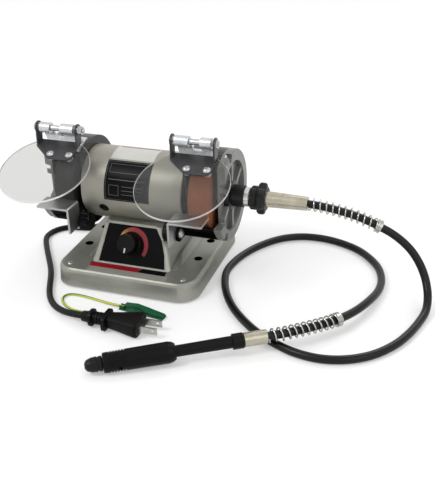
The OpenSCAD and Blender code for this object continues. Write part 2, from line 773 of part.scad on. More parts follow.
// Frame of a shield: origin on the hinge, Y up the lens, Z out of it
module on_shield() {
    translate([hinge_u, -hinge_v, hinge_w]) rotate([lens_slope, 0, 0]) children();
}

lens_q = -13.8;
lens_p = -40.2;
plate_back_p = -6;
plate_front_p = -28;
shield_screw_p = -22.5;
shield_screw_u = 9.5;

module ear_outline() {
    circle(r = 5.8);
    polygon([[-5.8, 0], [5.8, 0], [-1, lens_q], [-17, lens_q], [-9, -4]]);
}

// Black plate with two ears that turn on the hinge bolt
module shield_plate_solid() {
    half = ear_span / 2;
    on_shield() difference() {
        union() {
            translate([0, 0, lens_q]) linear_extrude(plate_t)
                polygon([[-half, plate_back_p + 2], [half, plate_back_p + 2], [half, -15],
                    [half - 4.5, plate_front_p + 3], [half - 8, plate_front_p],
                    [-half + 8, plate_front_p], [-half + 4.5, plate_front_p + 3], [-half, -15]]);
            for (u = [-half, half - plate_t]) translate([u, 0, 0]) rotate([90, 0, 90])
                linear_extrude(plate_t) ear_outline();
        }
        xbar(hinge_bolt_r + 0.06, -half - 1, half + 1);
        for (u = [-shield_screw_u, shield_screw_u]) translate([u, shield_screw_p, lens_q - 1])
            cylinder(r = 2.1, h = plate_t + 2);
    }
}

module shield_lens_solid() {
    on_shield() difference() {
        translate([0, lens_p, lens_q - hair / 2 - lens_t]) cylinder(r = lens_r, h = lens_t, $fn = 96);
        translate([-60, plate_back_p - 2, lens_q - 10]) cube([120, 60, 20]);
        for (u = [-shield_screw_u, shield_screw_u]) translate([u, shield_screw_p, lens_q - 6])
            cylinder(r = 2.1, h = 10);
    }
}

module shield_screws_solid() {
    on_shield() for (u = [-shield_screw_u, shield_screw_u]) translate([u, shield_screw_p, 0]) {
        difference() {
            translate([0, 0, lens_q + plate_t + 0.05]) rotate_extrude()
                polygon([[0, 0], [3.8, 0], [3.8, 1.2], [2.6, 2.4], [0, 2.4]]);
            translate([-3, -0.4, lens_q + plate_t + 1.6]) cube([6, 0.8, 2]);
        }
        translate([0, 0, lens_q - lens_t - 3]) cylinder(r = 1.95, h = lens_t + plate_t + 3.3);
        translate([0, 0, lens_q - lens_t - 2.65]) cylinder(r = 3.6, h = 2.5, $fn = 6);
    }
}

module shield_plate_left() {
    color([0.12, 0.12, 0.12]) on_side(-1) shield_plate_solid();
}

module shield_plate_right() {
    color([0.12, 0.12, 0.12]) on_side(1) shield_plate_solid();
}

module shield_lens_left() {
    color([0.9, 0.95, 0.95, 0.4]) on_side(-1) shield_lens_solid();
}

module shield_lens_right() {
    color([0.9, 0.95, 0.95, 0.4]) on_side(1) shield_lens_solid();
}

module shield_screws_left() {
    color("gainsboro") on_side(-1) shield_screws_solid();
}

module shield_screws_right() {
    color("gainsboro") on_side(1) shield_screws_solid();
}

// Hinge bolts with their nuts, bracket screws, and the bolts of the tool rests
module bracket_bolts() {
    half = ear_span / 2;
    color("gainsboro") for (s = [-1, 1]) on_side(s) {
        translate([hinge_u, -hinge_v, hinge_w]) {
            xbar(hinge_bolt_r, -half - 1, half + 4.5);
            xturned([[0, -half - 3.3], [2.6, -half - 3.3], [3.7, -half - 2], [3.7, -half - 0.3], [0, -half - 0.3]]);
            xbar(4, half + 0.25, half + 1.05);
            xhex(7, half + 1.05, half + 4);
        }
        for (k = [0, 1]) bracket_hole(k) {
            translate([0, 0, 6 - guard_t - 3]) cylinder(r = 1.6, h = guard_t + 3 + 2);
            translate([0, 0, 6 + hair * 2 + 1.8 + 0.15]) cylinder(r = 3, h = 1.6);
        }
        translate([0, lug_v, lug_w]) {
            xbar(rest_bolt_r, rest_u - 8.5, guard_in + guard_t + 1);
            xturned([[0, guard_in + guard_t + 0.1], [5, guard_in + guard_t + 0.1],
                [4.6, guard_in + guard_t + 1.6], [2.6, guard_in + guard_t + 2.8],
                [0, guard_in + guard_t + 2.8]]);
        }
    }
}

// ---- tool rests -------------------------------------------------------------

// Angle steel: a plate before the wheel and a slotted flange on the guard's lug
module rest_solid() {
    front_v = rest_back_v - rest_d;
    slot_h = rest_bolt_r + 0.4;
    bend = rest_t;
    difference() {
        union() {
            translate([rest_u + bend, front_v, rest_top_w - rest_t]) cube([rest_w - bend, rest_d, rest_t]);
            translate([rest_u, front_v, rest_top_w - rest_h]) cube([rest_t, rest_d, rest_h - bend]);
            translate([rest_u, rest_back_v - 4, lug_w - 7]) cube([rest_t, 14.5, 13.5]);
            // Rounded bend
            intersection() {
                translate([rest_u + bend, front_v, rest_top_w - bend]) rotate([-90, 0, 0])
                    cylinder(r = bend, h = rest_d);
                translate([rest_u, front_v - 1, rest_top_w - bend]) cube([bend, rest_d + 2, bend]);
            }
        }
        // Slot for the bolt
        translate([rest_u - 1, lug_v - rest_in_travel, lug_w]) rotate([0, 90, 0]) cylinder(r = slot_h, h = rest_t + 2);
        translate([rest_u - 1, lug_v + rest_out_travel, lug_w]) rotate([0, 90, 0]) cylinder(r = slot_h, h = rest_t + 2);
        translate([rest_u - 1, lug_v - rest_in_travel, lug_w - slot_h])
            cube([rest_t + 2, rest_in_travel + rest_out_travel, 2 * slot_h]);
    }
}

module tool_rest_left() {
    color("lightgray") on_side(-1) rest_solid();
}

module tool_rest_right() {
    color("lightgray") on_side(1) rest_solid();
}

// Lobed plastic knob that clamps a tool rest
module rest_knob_solid() {
    translate([0, lug_v, lug_w]) difference() {
        union() {
            xbar(rest_knob_r - 2, rest_u - 11.5, rest_u - 0.4);
            xbar(5.5, rest_u - 1, rest_u - 0.15);
            for (k = [0 : 4]) at_angle(k * 72 + 20, rest_knob_r - 3) xbar(3, rest_u - 10.5, rest_u - 1.5);
        }
        xbar(rest_bolt_r + 0.05, rest_u - 9.5, rest_u + 1);
    }
}

module rest_knob_left() {
    color([0.08, 0.08, 0.08]) on_side(-1) rest_knob_solid();
}

module rest_knob_right() {
    color([0.08, 0.08, 0.08]) on_side(1) rest_knob_solid();
}

// ---- rotor --------------------------------------------------------------

module rotor_shaft() {
    color("silver") translate([motor_x, axis_y, axis_z]) {
        xturned([[0, -shaft_end], [shaft_r - 0.8, -shaft_end], [shaft_r, -shaft_end + 0.8],
            [shaft_r, shaft_end], [shaft_r - 1, shaft_end], [shaft_r - 1, ring_end], [0, ring_end]]);
    }
}

module armature() {
    color("darkgray") translate([motor_x + stator_x, axis_y, axis_z]) {
        difference() {
            xbar(pole_r - 0.8, -stator_half, stator_half);
            xbar(shaft_r + press_gap, -stator_half - 1, stator_half + 1);
            for (a = [0 : 30 : 330]) rotate([a, 0, 0])
                translate([-stator_half - 1, pole_r - 4.2, -0.8]) cube([2 * stator_half + 2, 5, 1.6]);
        }
    }
    color("peru") translate([motor_x + stator_x, axis_y, axis_z]) for (s = [-1, 1]) mirror([s < 0 ? 1 : 0, 0, 0])
        xturned([[shaft_r + 1, stator_half], [pole_r - 3.1, stator_half], [pole_r - 4.1, stator_half + 5],
            [12, stator_half + 7], [shaft_r + 1, stator_half + 7]]);
}

module commutator() {
    color("chocolate") translate([motor_x, axis_y, axis_z]) difference() {
        xturned([[shaft_r + press_gap, -36], [comm_r, -36], [comm_r, -23.5], [comm_r + 1.4, -23.4],
            [comm_r + 1.4, -21.5], [shaft_r + press_gap, -21.5]]);
        for (a = [0 : 15 : 345]) rotate([a, 0, 0]) translate([-37, comm_r - 0.8, -0.2]) cube([13, 3, 0.4]);
    }
}

module cooling_fan() {
    color("ivory") translate([motor_x, axis_y, axis_z]) difference() {
        union() {
            xturned([[shaft_r + press_gap, 30.5], [9, 30.5], [9, 34], [fan_r, 36], [fan_r, 37.2],
                [shaft_r + press_gap, 38]]);
            for (a = [0 : 30 : 330]) rotate([a, 0, 0]) translate([30.5, 12, -0.6]) cube([5.5, fan_r - 12, 1.2]);
        }
        xbar(shaft_r + press_gap, 20, 50);
    }
}

module wheel_solid() {
    xturned([[shaft_r + hair, wheel_in], [wheel_r - 1, wheel_in], [wheel_r, wheel_in + 1],
        [wheel_r, wheel_out - 1], [wheel_r - 1, wheel_out], [shaft_r + hair, wheel_out]]);
}

module wheel_left() {
    color([0.3, 0.3, 0.3]) on_side(-1) wheel_solid();
}

module wheel_right() {
    color([0.72, 0.48, 0.38]) on_side(1) wheel_solid();
}

module wheel_flanges() {
    color("silver") for (s = [-1, 1]) on_side(s) {
        xturned([[shaft_r + press_gap, wheel_in - hair / 2], [flange_r, wheel_in - hair / 2],
            [flange_r - 1, wheel_in - flange_t], [shaft_r + press_gap, wheel_in - flange_t]]);
        xturned([[shaft_r + press_gap, wheel_out + hair / 2],
            [shaft_r + press_gap, wheel_out + flange_t - hair / 2],
            [flange_r - 1, wheel_out + flange_t - hair / 2], [flange_r, wheel_out + hair / 2]]);
    }
}

module wheel_nuts() {
    color("gainsboro") for (s = [-1, 1]) on_side(s) difference() {
        intersection() {
            xhex(17, wheel_out + flange_t, wheel_out + flange_t + wheel_nut_h);
            xturned([[0, wheel_out + flange_t - 1], [9.8, wheel_out + flange_t - 1],
                [9.8, wheel_out + flange_t + wheel_nut_h - 1], [8.6, wheel_out + flange_t + wheel_nut_h],
                [0, wheel_out + flange_t + wheel_nut_h]]);
        }
        xbar(shaft_r + press_gap, wheel_out, wheel_out + 20);
    }
}

// ---- flexible shaft -----------------------------------------------------------

module shaft_union() {
    color("gainsboro") on_side(1) xturned([[shaft_r + 0.6, shaft_end + 1.2], [union_r, shaft_end + 1.2],
        [union_r, nose_end + 0.2], [union_r + 1.4, nose_end + 0.2], [union_r + 1.4, ring_end - 0.6],
        [union_r + 0.8, ring_end], [union_r - 0.2, ring_end], [union_r - 0.2, union_end], [shaft_r + 0.6, union_end]]);
}

module coupling_nut() {
    hub_r = nut_r - 3.6;
    waist = nut_start + 6;
    color([0.07, 0.07, 0.07]) on_side(1) difference() {
        union() {
            xturned([[0, nut_start], [hub_r - 0.8, nut_start], [hub_r, nut_start + 0.8], [hub_r, waist],
                [nut_r - 2.6, waist + 2], [nut_r - 2.6, nut_end - 1.4], [nut_r - 4, nut_end], [0, nut_end]]);
            for (k = [0 : 5]) at_angle(k * 60 + 10, nut_r - 4) xturned([[0, waist],
                [2.6, waist + 0.4], [4, waist + 2.2], [4, nut_end - 2.4], [2.8, nut_end - 0.8], [0, nut_end - 0.8]]);
        }
        for (k = [0 : 5]) at_angle(k * 60 + 40, nut_r) xbar(4.6, nut_start - 1, waist - 0.6);
        for (k = [0 : 5]) at_angle(k * 60 + 40, nut_r + 1.4) xbar(5, waist + 1.4, nut_end + 1);
        xbar(sleeve_r + 0.08, nut_start - 1, nut_end + 1);
        xbar(max(union_r, sleeve_r) + 0.3, nut_start - 1, union_end + fit_gap);
    }
}

module coupling_sleeve() {
    color("gainsboro") on_side(1) difference() {
        xturned([[sheath_r + hair, sleeve_start], [sleeve_r, sleeve_start], [sleeve_r, nut_end],
            [sleeve_tip_r + 0.1, sleeve_end - 0.7], [sleeve_tip_r - 0.5, sleeve_end], [sheath_r + hair, sleeve_end]]);
        for (m = [0, 1]) rotate([180 * m, 0, 0])
            translate([nut_end + 15, -10, sleeve_tip_r - 0.2]) cube([6, 20, 3]);
    }
}

sheath_curve = concat(smooth(concat([[motor_x + sleeve_end - 5, axis_y, axis_z]], sheath_route, [hp_point(hp_sleeve_end + 15),
    hp_point(hp_sleeve_end)]), 1), [hp_point(hp_tail_end + 2)]);
// The sheath's first stretch, along which the first spring is wound
first_stretch = smooth(concat([[motor_x + sleeve_end, axis_y, axis_z]],
    [for (i = [0 : 6]) sheath_route[i]]), 4);
route_n = len(sheath_route);
last_stretch = smooth(concat([hp_point(hp_sleeve_end), hp_point(hp_sleeve_end + 15)],
    [for (i = [0 : 5]) sheath_route[route_n - 1 - i]]), 4);

// A point on the handpiece axis, counted from the nose
function hp_point(t) = [hp_x + t * cos(hp_tilt) * cos(hp_turn),
    hp_y + t * cos(hp_tilt) * sin(hp_turn), hp_z + t * sin(hp_tilt)];

// Ring that ends a spring
module spring_ring(p) {
    difference() {
        swept_tube([for (k = [0 : 3]) along(p, spring_l + k * spring_ring_l / 3)],
            spring_coil_r + spring_wire_r, 24);
        swept_tube([for (k = [-2 : 5]) along(p, spring_l + k * spring_ring_l / 3)],
            sheath_r + fit_gap, 24);
    }
}

module shaft_springs() {
    color("silver") {
        swept_tube(spring_wire(first_stretch, spring_l, spring_coil_r, 11, 12), spring_wire_r, 6);
        swept_tube(spring_wire(last_stretch, spring_l, spring_coil_r, 11, 12), spring_wire_r, 6);
        spring_ring(first_stretch);
        spring_ring(last_stretch);
    }
}

module flex_sheath() {
    color([0.1, 0.1, 0.1]) swept_tube(sheath_curve, sheath_r, 10);
}

// Frame of the handpiece: X from the nose to the tail
module on_handpiece() {
    translate([hp_x, hp_y, hp_z]) rotate([0, 0, hp_turn]) rotate([0, -hp_tilt, 0]) children();
}

module handpiece_body() {
    color([0.17, 0.17, 0.17]) on_handpiece() difference() {
        union() {
            xturned([[0, hp_body_start], [hp_r - 1.2, hp_body_start], [hp_r - 0.7, hp_body_start + 1],
                [hp_r - 0.4, hp_body_start + 8], [hp_r - 0.2, hp_body_start + 30],
                [hp_r, hp_body_end - 6], [hp_r - 0.8, hp_body_end - 2.5],
                [hp_r - 2.4, hp_body_end], [0, hp_body_end]]);
        }
        for (k = [0 : 5]) xturned_groove(hp_body_start + 5.5 + k * 2.4);
        xbar(4.6, hp_body_start - 1, hp_body_end + 1);
        translate([hp_body_start + 13.7, 0, 0]) rotate([105, 0, 0]) cylinder(r = 1.6, h = 12);
    }
}

// A shallow ring cut in the grip
module xturned_groove(x) {
    difference() {
        xbar(hp_r + 2, x, x + 0.9);
        xbar(hp_r - 1.2, x - 1, x + 2);
    }
}

module handpiece_tail() {
    color([0.25, 0.25, 0.25]) on_handpiece() xturned([[2, hp_body_end + 0.1], [4.9, hp_body_end + 0.1],
        [5.3, hp_tail_end - 10], [6.8, hp_tail_end - 9.5], [6.8, hp_tail_end - 0.5],
        [6.3, hp_tail_end], [2, hp_tail_end]]);
    color("gainsboro") on_handpiece() xturned([[sheath_r + hair, hp_tail_end + 0.1], [hp_sleeve_r - 0.4, hp_tail_end + 0.1],
        [hp_sleeve_r, hp_tail_end + 0.6], [hp_sleeve_r, hp_sleeve_end - 0.6],
        [hp_sleeve_r - 0.5, hp_sleeve_end], [sheath_r + hair, hp_sleeve_end]]);
}

module collet_chuck() {
    color([0.13, 0.13, 0.13]) on_handpiece() difference() {
        union() {
            xturned([[0, 0], [2.6, 0], [4.6, 1.6], [6, 5], [6.4, 9], [6.4, hp_body_start - 1],
                [6, hp_body_start - 0.3], [0, hp_body_start - 0.3]]);
            xbar(4.54, hp_body_start - 1, hp_body_end - 6);
        }
        xbar(collet_bore_r, -1, 24);
        difference() {
            xbar(8, 10.6, 11.6);
            xbar(5.7, 10, 12);
        }
    }
}

// ---- mains cord ---------------------------------------------------------------

module cord_gland() {
    color([0.08, 0.08, 0.08]) translate([gland_x, base_d / 2, gland_z]) rotate([-90, 0, 0]) difference() {
        rotate_extrude() polygon([[0, -base_wall - 4], [4.9, -base_wall - 4], [4.9, 0], [6.5, 0],
            [6.5, 1.2], [5.6, 2], [cord_r + 1, gland_l - 2], [cord_r + 0.6, gland_l], [0, gland_l]]);
        for (k = [0 : 4]) for (a = [0, 180]) rotate([0, 0, a + 90 * (k % 2)])
            translate([-8, cord_r + 0.9, 5 + k * 4.2]) cube([16, 6, 1.6]);
    }
}

module mains_cord() {
    color([0.08, 0.08, 0.08]) {
        swept_tube(smooth(lead_route, 1), cord_r, 8);
        swept_tube(smooth(concat(outer_turn, cord_route), 1), cord_r, 8);
    }
}

// Wound length of cord, as the ring that its turns fill
module mains_coil() {
    inner = coil_turn_r - coil_rows * cord_r;
    outer = coil_turn_r + coil_rows * cord_r;
    tall = 2 * coil_layers * cord_r;
    color([0.08, 0.08, 0.08]) translate([coil_x, coil_y, 0]) rotate_extrude()
        polygon([[inner, 1], [inner + 1, 0.1], [outer - 1, 0.1], [outer, 1], [outer, tall - 1],
            [outer - 1, tall], [inner + 1, tall], [inner, tall - 1]]);
}

// ---- plug and earth clip -------------------------------------------------------

plug_x = -13.8;
plug_y = -126;
plug_z = 8;
plug_turn = 1;

module on_plug() {
    translate([plug_x, plug_y, plug_z]) rotate([0, 0, plug_turn]) children();
}

module plug_body() {
    color([0.09, 0.09, 0.09]) on_plug() difference() {
        union() {
            // Tapered strain relief
            xturned([[0, 0], [cord_r + 0.6, 0], [cord_r + 2.6, 20], [0, 20]]);
            // Lugs beside the cord
            translate([4, 0, 0]) rotate([90, 0, 0]) cylinder(r = cord_r - 0.2, h = 15, center = true);
            // Collar
            translate([21.5, 0, 0]) intersection() {
                translate([-2.5, -11, -7.6]) cube([5, 22, 15.2]);
                xbar(11.8, -3, 3);
            }
            // Wedge-shaped grip
            hull() {
                translate([22, -6, -5.4]) cube([1, 12, 10.8]);
                translate([52, -13, -7.4]) cube([0.5, 26, 14.8]);
                translate([56, -12, -6.6]) cube([0.5, 24, 13.2]);
            }
        }
        for (k = [0 : 3]) translate([4 + k * 4, 0, 0]) difference() {
            xbar(9, 0, 1.4);
            xbar(cord_r + 0.9, -1, 3);
        }
    }
}

module plug_blades() {
    color("lightgray") on_plug() for (y = [-6.35, 6.35]) difference() {
        translate([50, y - 0.8, -3.2]) cube([23.5, 1.6, 6.4]);
        translate([69.5, 0, 0]) rotate([90, 0, 0]) cylinder(r = 1.5, h = 40, center = true);
    }
}

module earth_wire() {
    color("yellowgreen") swept_tube(smooth(earth_route, 2), earth_r, 8);
}

clip_x = 10;
clip_y = -93.8;
clip_turn = -7;
clip_pivot = 16;
clip_pivot_z = 4.2;
clip_half = 3.6;
clip_sheet = 0.8;
clip_pin_r = 1.1;

module on_clip() {
    translate([clip_x, clip_y, 0]) rotate([0, 0, clip_turn]) children();
}

// One flank of the lower jaw, from the side: tail, pivot ear and teeth
module jaw_flank() {
    linear_extrude(clip_sheet) polygon([[0, 0.5], [44, 0.5], [44, 1.8], [42, 2.1], [40.5, 1.6], [39, 2.1],
        [37.5, 1.6], [36, 2.1], [34.5, 1.6], [33, 2.1], [31, 2.4], [26, 2.8],
        [clip_pivot + 3, clip_pivot_z + 1.5], [clip_pivot - 3, clip_pivot_z + 1.5], [8, 3.2], [5, 1.4], [0, 1.4]]);
}

// Turns a side profile so that it stands up along the clip
module upright(y) {
    translate([0, y + clip_sheet, 0]) rotate([90, 0, 0]) children();
}

module clip_lower_jaw() {
    color("green") on_clip() {
        upright(-clip_half) jaw_flank();
        upright(clip_half - clip_sheet) jaw_flank();
        translate([-2, -clip_half, 0.3]) cube([46, 2 * clip_half, clip_sheet]);
        // Crimp that holds the wire
        for (y = [-earth_r - 0.9, earth_r + 0.1]) translate([-2, y, 0.3]) cube([4.5, 0.8, 2 * earth_r + 1.4]);
    }
    color("silver") on_clip() translate([clip_pivot, 0, clip_pivot_z]) rotate([90, 0, 0])
        cylinder(r = clip_pin_r, h = 2 * clip_half + 1.4, center = true);
}

module clip_upper_jaw() {
    inner_half = clip_half - clip_sheet - fit_gap;
    color("green") on_clip() difference() {
        union() {
            for (y = [-inner_half, inner_half - clip_sheet]) upright(y)
                linear_extrude(clip_sheet) polygon([[4, 5.4], [10, 5.4], [clip_pivot - 3, 4.8],
                    [clip_pivot - 2, clip_pivot_z - 1.8], [clip_pivot + 2, clip_pivot_z - 1.8],
                    [clip_pivot + 3.5, 3.2], [26, 3.6], [31, 2.9], [33, 2.6], [34.5, 2.1], [36, 2.6],
                    [37.5, 2.1], [39, 2.6], [40.5, 2.1], [42, 2.6], [44, 2.4], [44, 3.9], [34, 5.4],
                    [24, 7], [clip_pivot, 8], [10, 7.2], [4, 6.6]]);
            translate([0, inner_half, 0]) rotate([90, 0, 0]) linear_extrude(2 * inner_half)
                polygon([[4, 6], [10, 6.6], [clip_pivot, 7.4], [24, 6.4], [34, 4.8], [44, 3.3],
                    [44, 3.9], [34, 5.4], [24, 7], [clip_pivot, 8], [10, 7.2], [4, 6.6]]);
        }
        translate([clip_pivot, 0, clip_pivot_z]) rotate([90, 0, 0])
            cylinder(r = clip_pin_r + 0.05, h = 20, center = true);
    }
}

// ---- speed dial ---------------------------------------------------------------

module speed_dial() {
    color([0.1, 0.1, 0.1]) on_panel() translate([0, dial_up, 0]) difference() {
        rotate_extrude() polygon([[0, 1], [dial_r, 1], [dial_r, 3], [dial_r - 1.5, 4], [dial_r - 2.5, dial_h - 1],
            [dial_r - 3.5, dial_h], [0, dial_h]]);
        translate([0, 0, -1]) cylinder(r = pot_shaft_r + 0.05, h = 9.5);
        translate([0, 0, -1]) cylinder(r = pot_bush_r + 0.4, h = 3);
        for (a = [0 : 15 : 345]) rotate([0, 0, a]) translate([dial_r - 1.2, 0, 4.2]) cylinder(r = 0.9, h = dial_h);
        rotate([0, 0, 195]) translate([-0.6, dial_r - 9, dial_h - 0.5]) cube([1.2, 6, 2]);
    }
}

base_casting();
bottom_cover();
rubber_feet();
base_screws();
control_panel();
dial_potentiometer();
control_board();
motor_housing();
end_bell_left();
end_bell_right();
stator_core();
field_coils();
shaft_bearings();
brush_holders();
carbon_brushes();
brush_caps();
guard_left();
guard_right();
guard_cover_left();
guard_cover_right();
cover_screws();
guard_bolts();
shield_bracket_left();
shield_bracket_right();
bracket_bolts();
shaft_union();
coupling_sleeve();
shaft_springs();
flex_sheath();
handpiece_body();
handpiece_tail();
cord_gland();
mains_cord();
mains_coil();
plug_body();
plug_blades();
earth_wire();
clip_lower_jaw();
clip_upper_jaw();
speed_dial();
coupling_nut();
shield_plate_left();
shield_lens_left();
shield_screws_left();
shield_plate_right();
shield_lens_right();
shield_screws_right();
tool_rest_left();
tool_rest_right();
rest_knob_left();
rest_knob_right();
rotor_shaft();
armature();
commutator();
cooling_fan();
wheel_left();
wheel_right();
wheel_flanges();
wheel_nuts();
collet_chuck();
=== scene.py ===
# Bench grinder with a flexible shaft: finishes, labels, cords and fine detail
import bpy
import bmesh
import numpy as np
from math import radians, sin, cos, pi
from mathutils import Matrix, Vector


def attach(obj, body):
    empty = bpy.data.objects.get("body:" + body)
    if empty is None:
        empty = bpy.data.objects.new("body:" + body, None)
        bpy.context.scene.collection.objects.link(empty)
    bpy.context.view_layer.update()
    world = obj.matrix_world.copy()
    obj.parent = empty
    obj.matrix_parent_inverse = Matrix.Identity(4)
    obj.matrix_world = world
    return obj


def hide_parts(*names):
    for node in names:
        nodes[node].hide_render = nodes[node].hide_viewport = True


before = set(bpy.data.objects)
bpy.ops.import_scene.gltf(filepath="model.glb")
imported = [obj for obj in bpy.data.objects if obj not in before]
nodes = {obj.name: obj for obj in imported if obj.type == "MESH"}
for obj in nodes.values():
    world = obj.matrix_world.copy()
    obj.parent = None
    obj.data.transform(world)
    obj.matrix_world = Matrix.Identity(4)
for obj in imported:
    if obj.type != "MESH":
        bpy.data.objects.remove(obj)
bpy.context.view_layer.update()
scene = bpy.context.scene
print("frame loaded:", len(nodes), "nodes")

# lengths are in millimetres and angles in degrees; the motor's axis runs along x
motor = {"y": 1.5, "z": 82.5, "radius": 35.5}
handpiece = {"nose": (21.6, -193.0, 8.05), "turn": 29.5, "tilt": 2.08, "tailEnd": 132.5}

view = {"place": (297.4, -654.9, 401.3), "azimuth": 18.99, "elevation": 28.56, "roll": -1.444, "lens": 58.23}


def addCamera(v):
    # back = (sin a cos e, -cos a cos e, sin e); across = right cos r + up sin r; upward likewise
    a, e, r = (radians(v[k]) for k in ("azimuth", "elevation", "roll"))
    back = np.array([sin(a) * cos(e), -cos(a) * cos(e), sin(e)])
    right = np.array([cos(a), sin(a), 0])
    up = np.cross(back, right)
    across = cos(r) * right + sin(r) * up
    upward = -sin(r) * right + cos(r) * up
    data = bpy.data.cameras.new("camera")
    data.lens = v["lens"]
    data.sensor_width = 36
    camera = bpy.data.objects.new("camera", data)
    scene.collection.objects.link(camera)
    turn = Matrix(np.column_stack([across, upward, back]).tolist()).to_4x4()
    camera.matrix_world = Matrix.Translation(Vector(v["place"]) / 1000) @ turn
    scene.camera = camera


addCamera(view)
print("camera placed")


def plug(tree, port, value):
    # joins a wire to a port, or sets the port to a plain value
    if isinstance(value, Wire):
        tree.links.new(value.socket, port)
    else:
        port.default_value = value


class Wire:  # one socket in a sum
    def __init__(self, tree, socket):
        self.tree = tree
        self.socket = socket

    def calc(self, operation, *values):
        node = self.tree.nodes.new("ShaderNodeMath")
        node.operation = operation
        for port, value in zip(node.inputs, values):
            plug(self.tree, port, value)
        return Wire(self.tree, node.outputs[0])

    def __add__(self, other):
        return self.calc("ADD", self, other)

    def __sub__(self, other):
        return self.calc("SUBTRACT", self, other)

    def __mul__(self, other):
        return self.calc("MULTIPLY", self, other)

    def __gt__(self, other):
        return self.calc("GREATER_THAN", self, other)

    def __lt__(self, other):
        return self.calc("LESS_THAN", self, other)

    def __abs__(self):
        return self.calc("ABSOLUTE", self)


def tone(red, green, blue):  # a colour written as it shows on a screen, 0 to 255
    # c / 12.92 where c is small, otherwise ((c + 0.055) / 1.055)^2.4
    c = np.array([red, green, blue]) / 255
    linear = np.where(c < 0.04045, c / 12.92, ((c + 0.055) / 1.055) ** 2.4)
    return (*linear.tolist(), 1.0)


def between(share, low, high):
    # low + share * (high - low)
    return share * (high - low) + low


class Finish:  # one material and the nodes that make it
    def __init__(self, name, fixed):
        self.material = bpy.data.materials.new(name)
        self.material.use_nodes = True
        self.tree = self.material.node_tree
        self.shader = self.tree.nodes["Principled BSDF"]
        for port, value in fixed.items():
            self.shader.inputs[port].default_value = value

    def node(self, kind, settings, ports, out=0):
        node = self.tree.nodes.new("ShaderNode" + kind)
        stops = settings.pop("stops", None)
        for key, value in settings.items():
            setattr(node, key, value)
        if stops:
            while len(node.color_ramp.elements) < len(stops):
                node.color_ramp.elements.new(1.0)
            for element, (place, colour) in zip(node.color_ramp.elements, stops):
                element.position = place
                element.color = colour
        for port, value in ports.items():
            plug(self.tree, node.inputs[port], value)
        return Wire(self.tree, node.outputs[out])

    def place(self, centre=(0, 0, 0), turn=(0, 0, 0), stretch=(1, 1, 1)):
        # object coordinates, in metres, moved to a centre, turned and stretched
        here = self.node("TexCoord", {}, {}, "Object")
        if centre != (0, 0, 0) or turn != (0, 0, 0):
            here = self.node("Mapping", {"vector_type": "TEXTURE"},
                {"Vector": here, "Location": centre, "Rotation": turn})
        if stretch != (1, 1, 1):
            here = self.node("Mapping", {}, {"Vector": here, "Scale": stretch})
        return here

    def parts(self, vector):
        # x, y and z of a vector
        return [self.node("SeparateXYZ", {}, {"Vector": vector}, k) for k in range(3)]

    def reach(self, x=0.0, y=0.0, z=0.0):
        # sqrt(x^2 + y^2 + z^2)
        flat = self.node("CombineXYZ", {}, {"X": x, "Y": y, "Z": z})
        return self.node("VectorMath", {"operation": "LENGTH"}, {0: flat}, "Value")

    def noise(self, size, detail=3, stretch=(1, 1, 1), rough=0.55):
        # size is the width of one blotch in millimetres
        here = self.place(stretch=stretch)
        return self.node("TexNoise", {},
            {"Vector": here, "Scale": 1000 / size, "Detail": detail, "Roughness": rough}, "Fac")

    def mottle(self, look):
        # two shares from 0 to 1: the fine grain, and a cloud = wide * (1 - grainShare) + fine * grainShare
        fine = self.noise(look["grain"], 4, look["stretch"])
        wide = self.noise(look["blotch"], 3)
        return fine, wide * (1 - look["grainShare"]) + fine * look["grainShare"]

    def mix(self, share, first, second):
        return self.node("Mix", {"data_type": "RGBA"}, {0: share, 6: first, 7: second}, 2)

    def paint(self, share, dark, light):
        return self.mix(share, tone(*dark), tone(*light))

    def ramp(self, share, stops):
        return self.node("ValToRGB", {"stops": stops}, {0: share})

    def feed(self, port, value):
        plug(self.tree, self.shader.inputs[port], value)

    def relief(self, height, depth, strength):
        # depth in millimetres
        ports = {"Height": height, "Distance": depth / 1000, "Strength": strength}
        self.feed("Normal", self.node("Bump", {}, ports))

    def surface(self, grain, look):
        # roughness = low + (high - low) * grain, and a relief of the grain
        self.feed("Roughness", between(grain, *look["rough"]))
        self.relief(grain, look["depth"], look["strength"])
        return self.material

    def ownMap(self):
        # u and v of the piece's own map
        return self.parts(self.node("UVMap", {"uv_map": "jacket"}, {}))[:2]

    def blend(self, share, other):
        # its own shader where share is 0, the other where it is 1
        own = Wire(self.tree, self.shader.outputs[0])
        mixed = self.node("MixShader", {}, {0: share, 1: own, 2: other})
        plug(self.tree, self.tree.nodes["Material Output"].inputs["Surface"], mixed)
        return self.material


# what a look has where it says nothing else
plain = {"metal": 0.0, "coat": 0.0, "gloss": 0.5, "blotch": 22, "grain": 0.9, "grainShare": 0.3,
    "stretch": (1, 1, 1), "rough": (0.35, 0.5), "depth": 0.03, "strength": 0.5}


def coated(name, changes):
    # colour = dark + (light - dark) * cloud; roughness = low + (high - low) * grain
    look = {**plain, **changes}
    f = Finish(name, {"Metallic": look["metal"], "Coat Weight": look["coat"], "Coat Roughness": 0.15,
        "Specular IOR Level": look["gloss"]})
    fine, cloud = f.mottle(look)
    f.feed("Base Color", f.paint(cloud, *look["tones"]))
    return f.surface(fine, look)


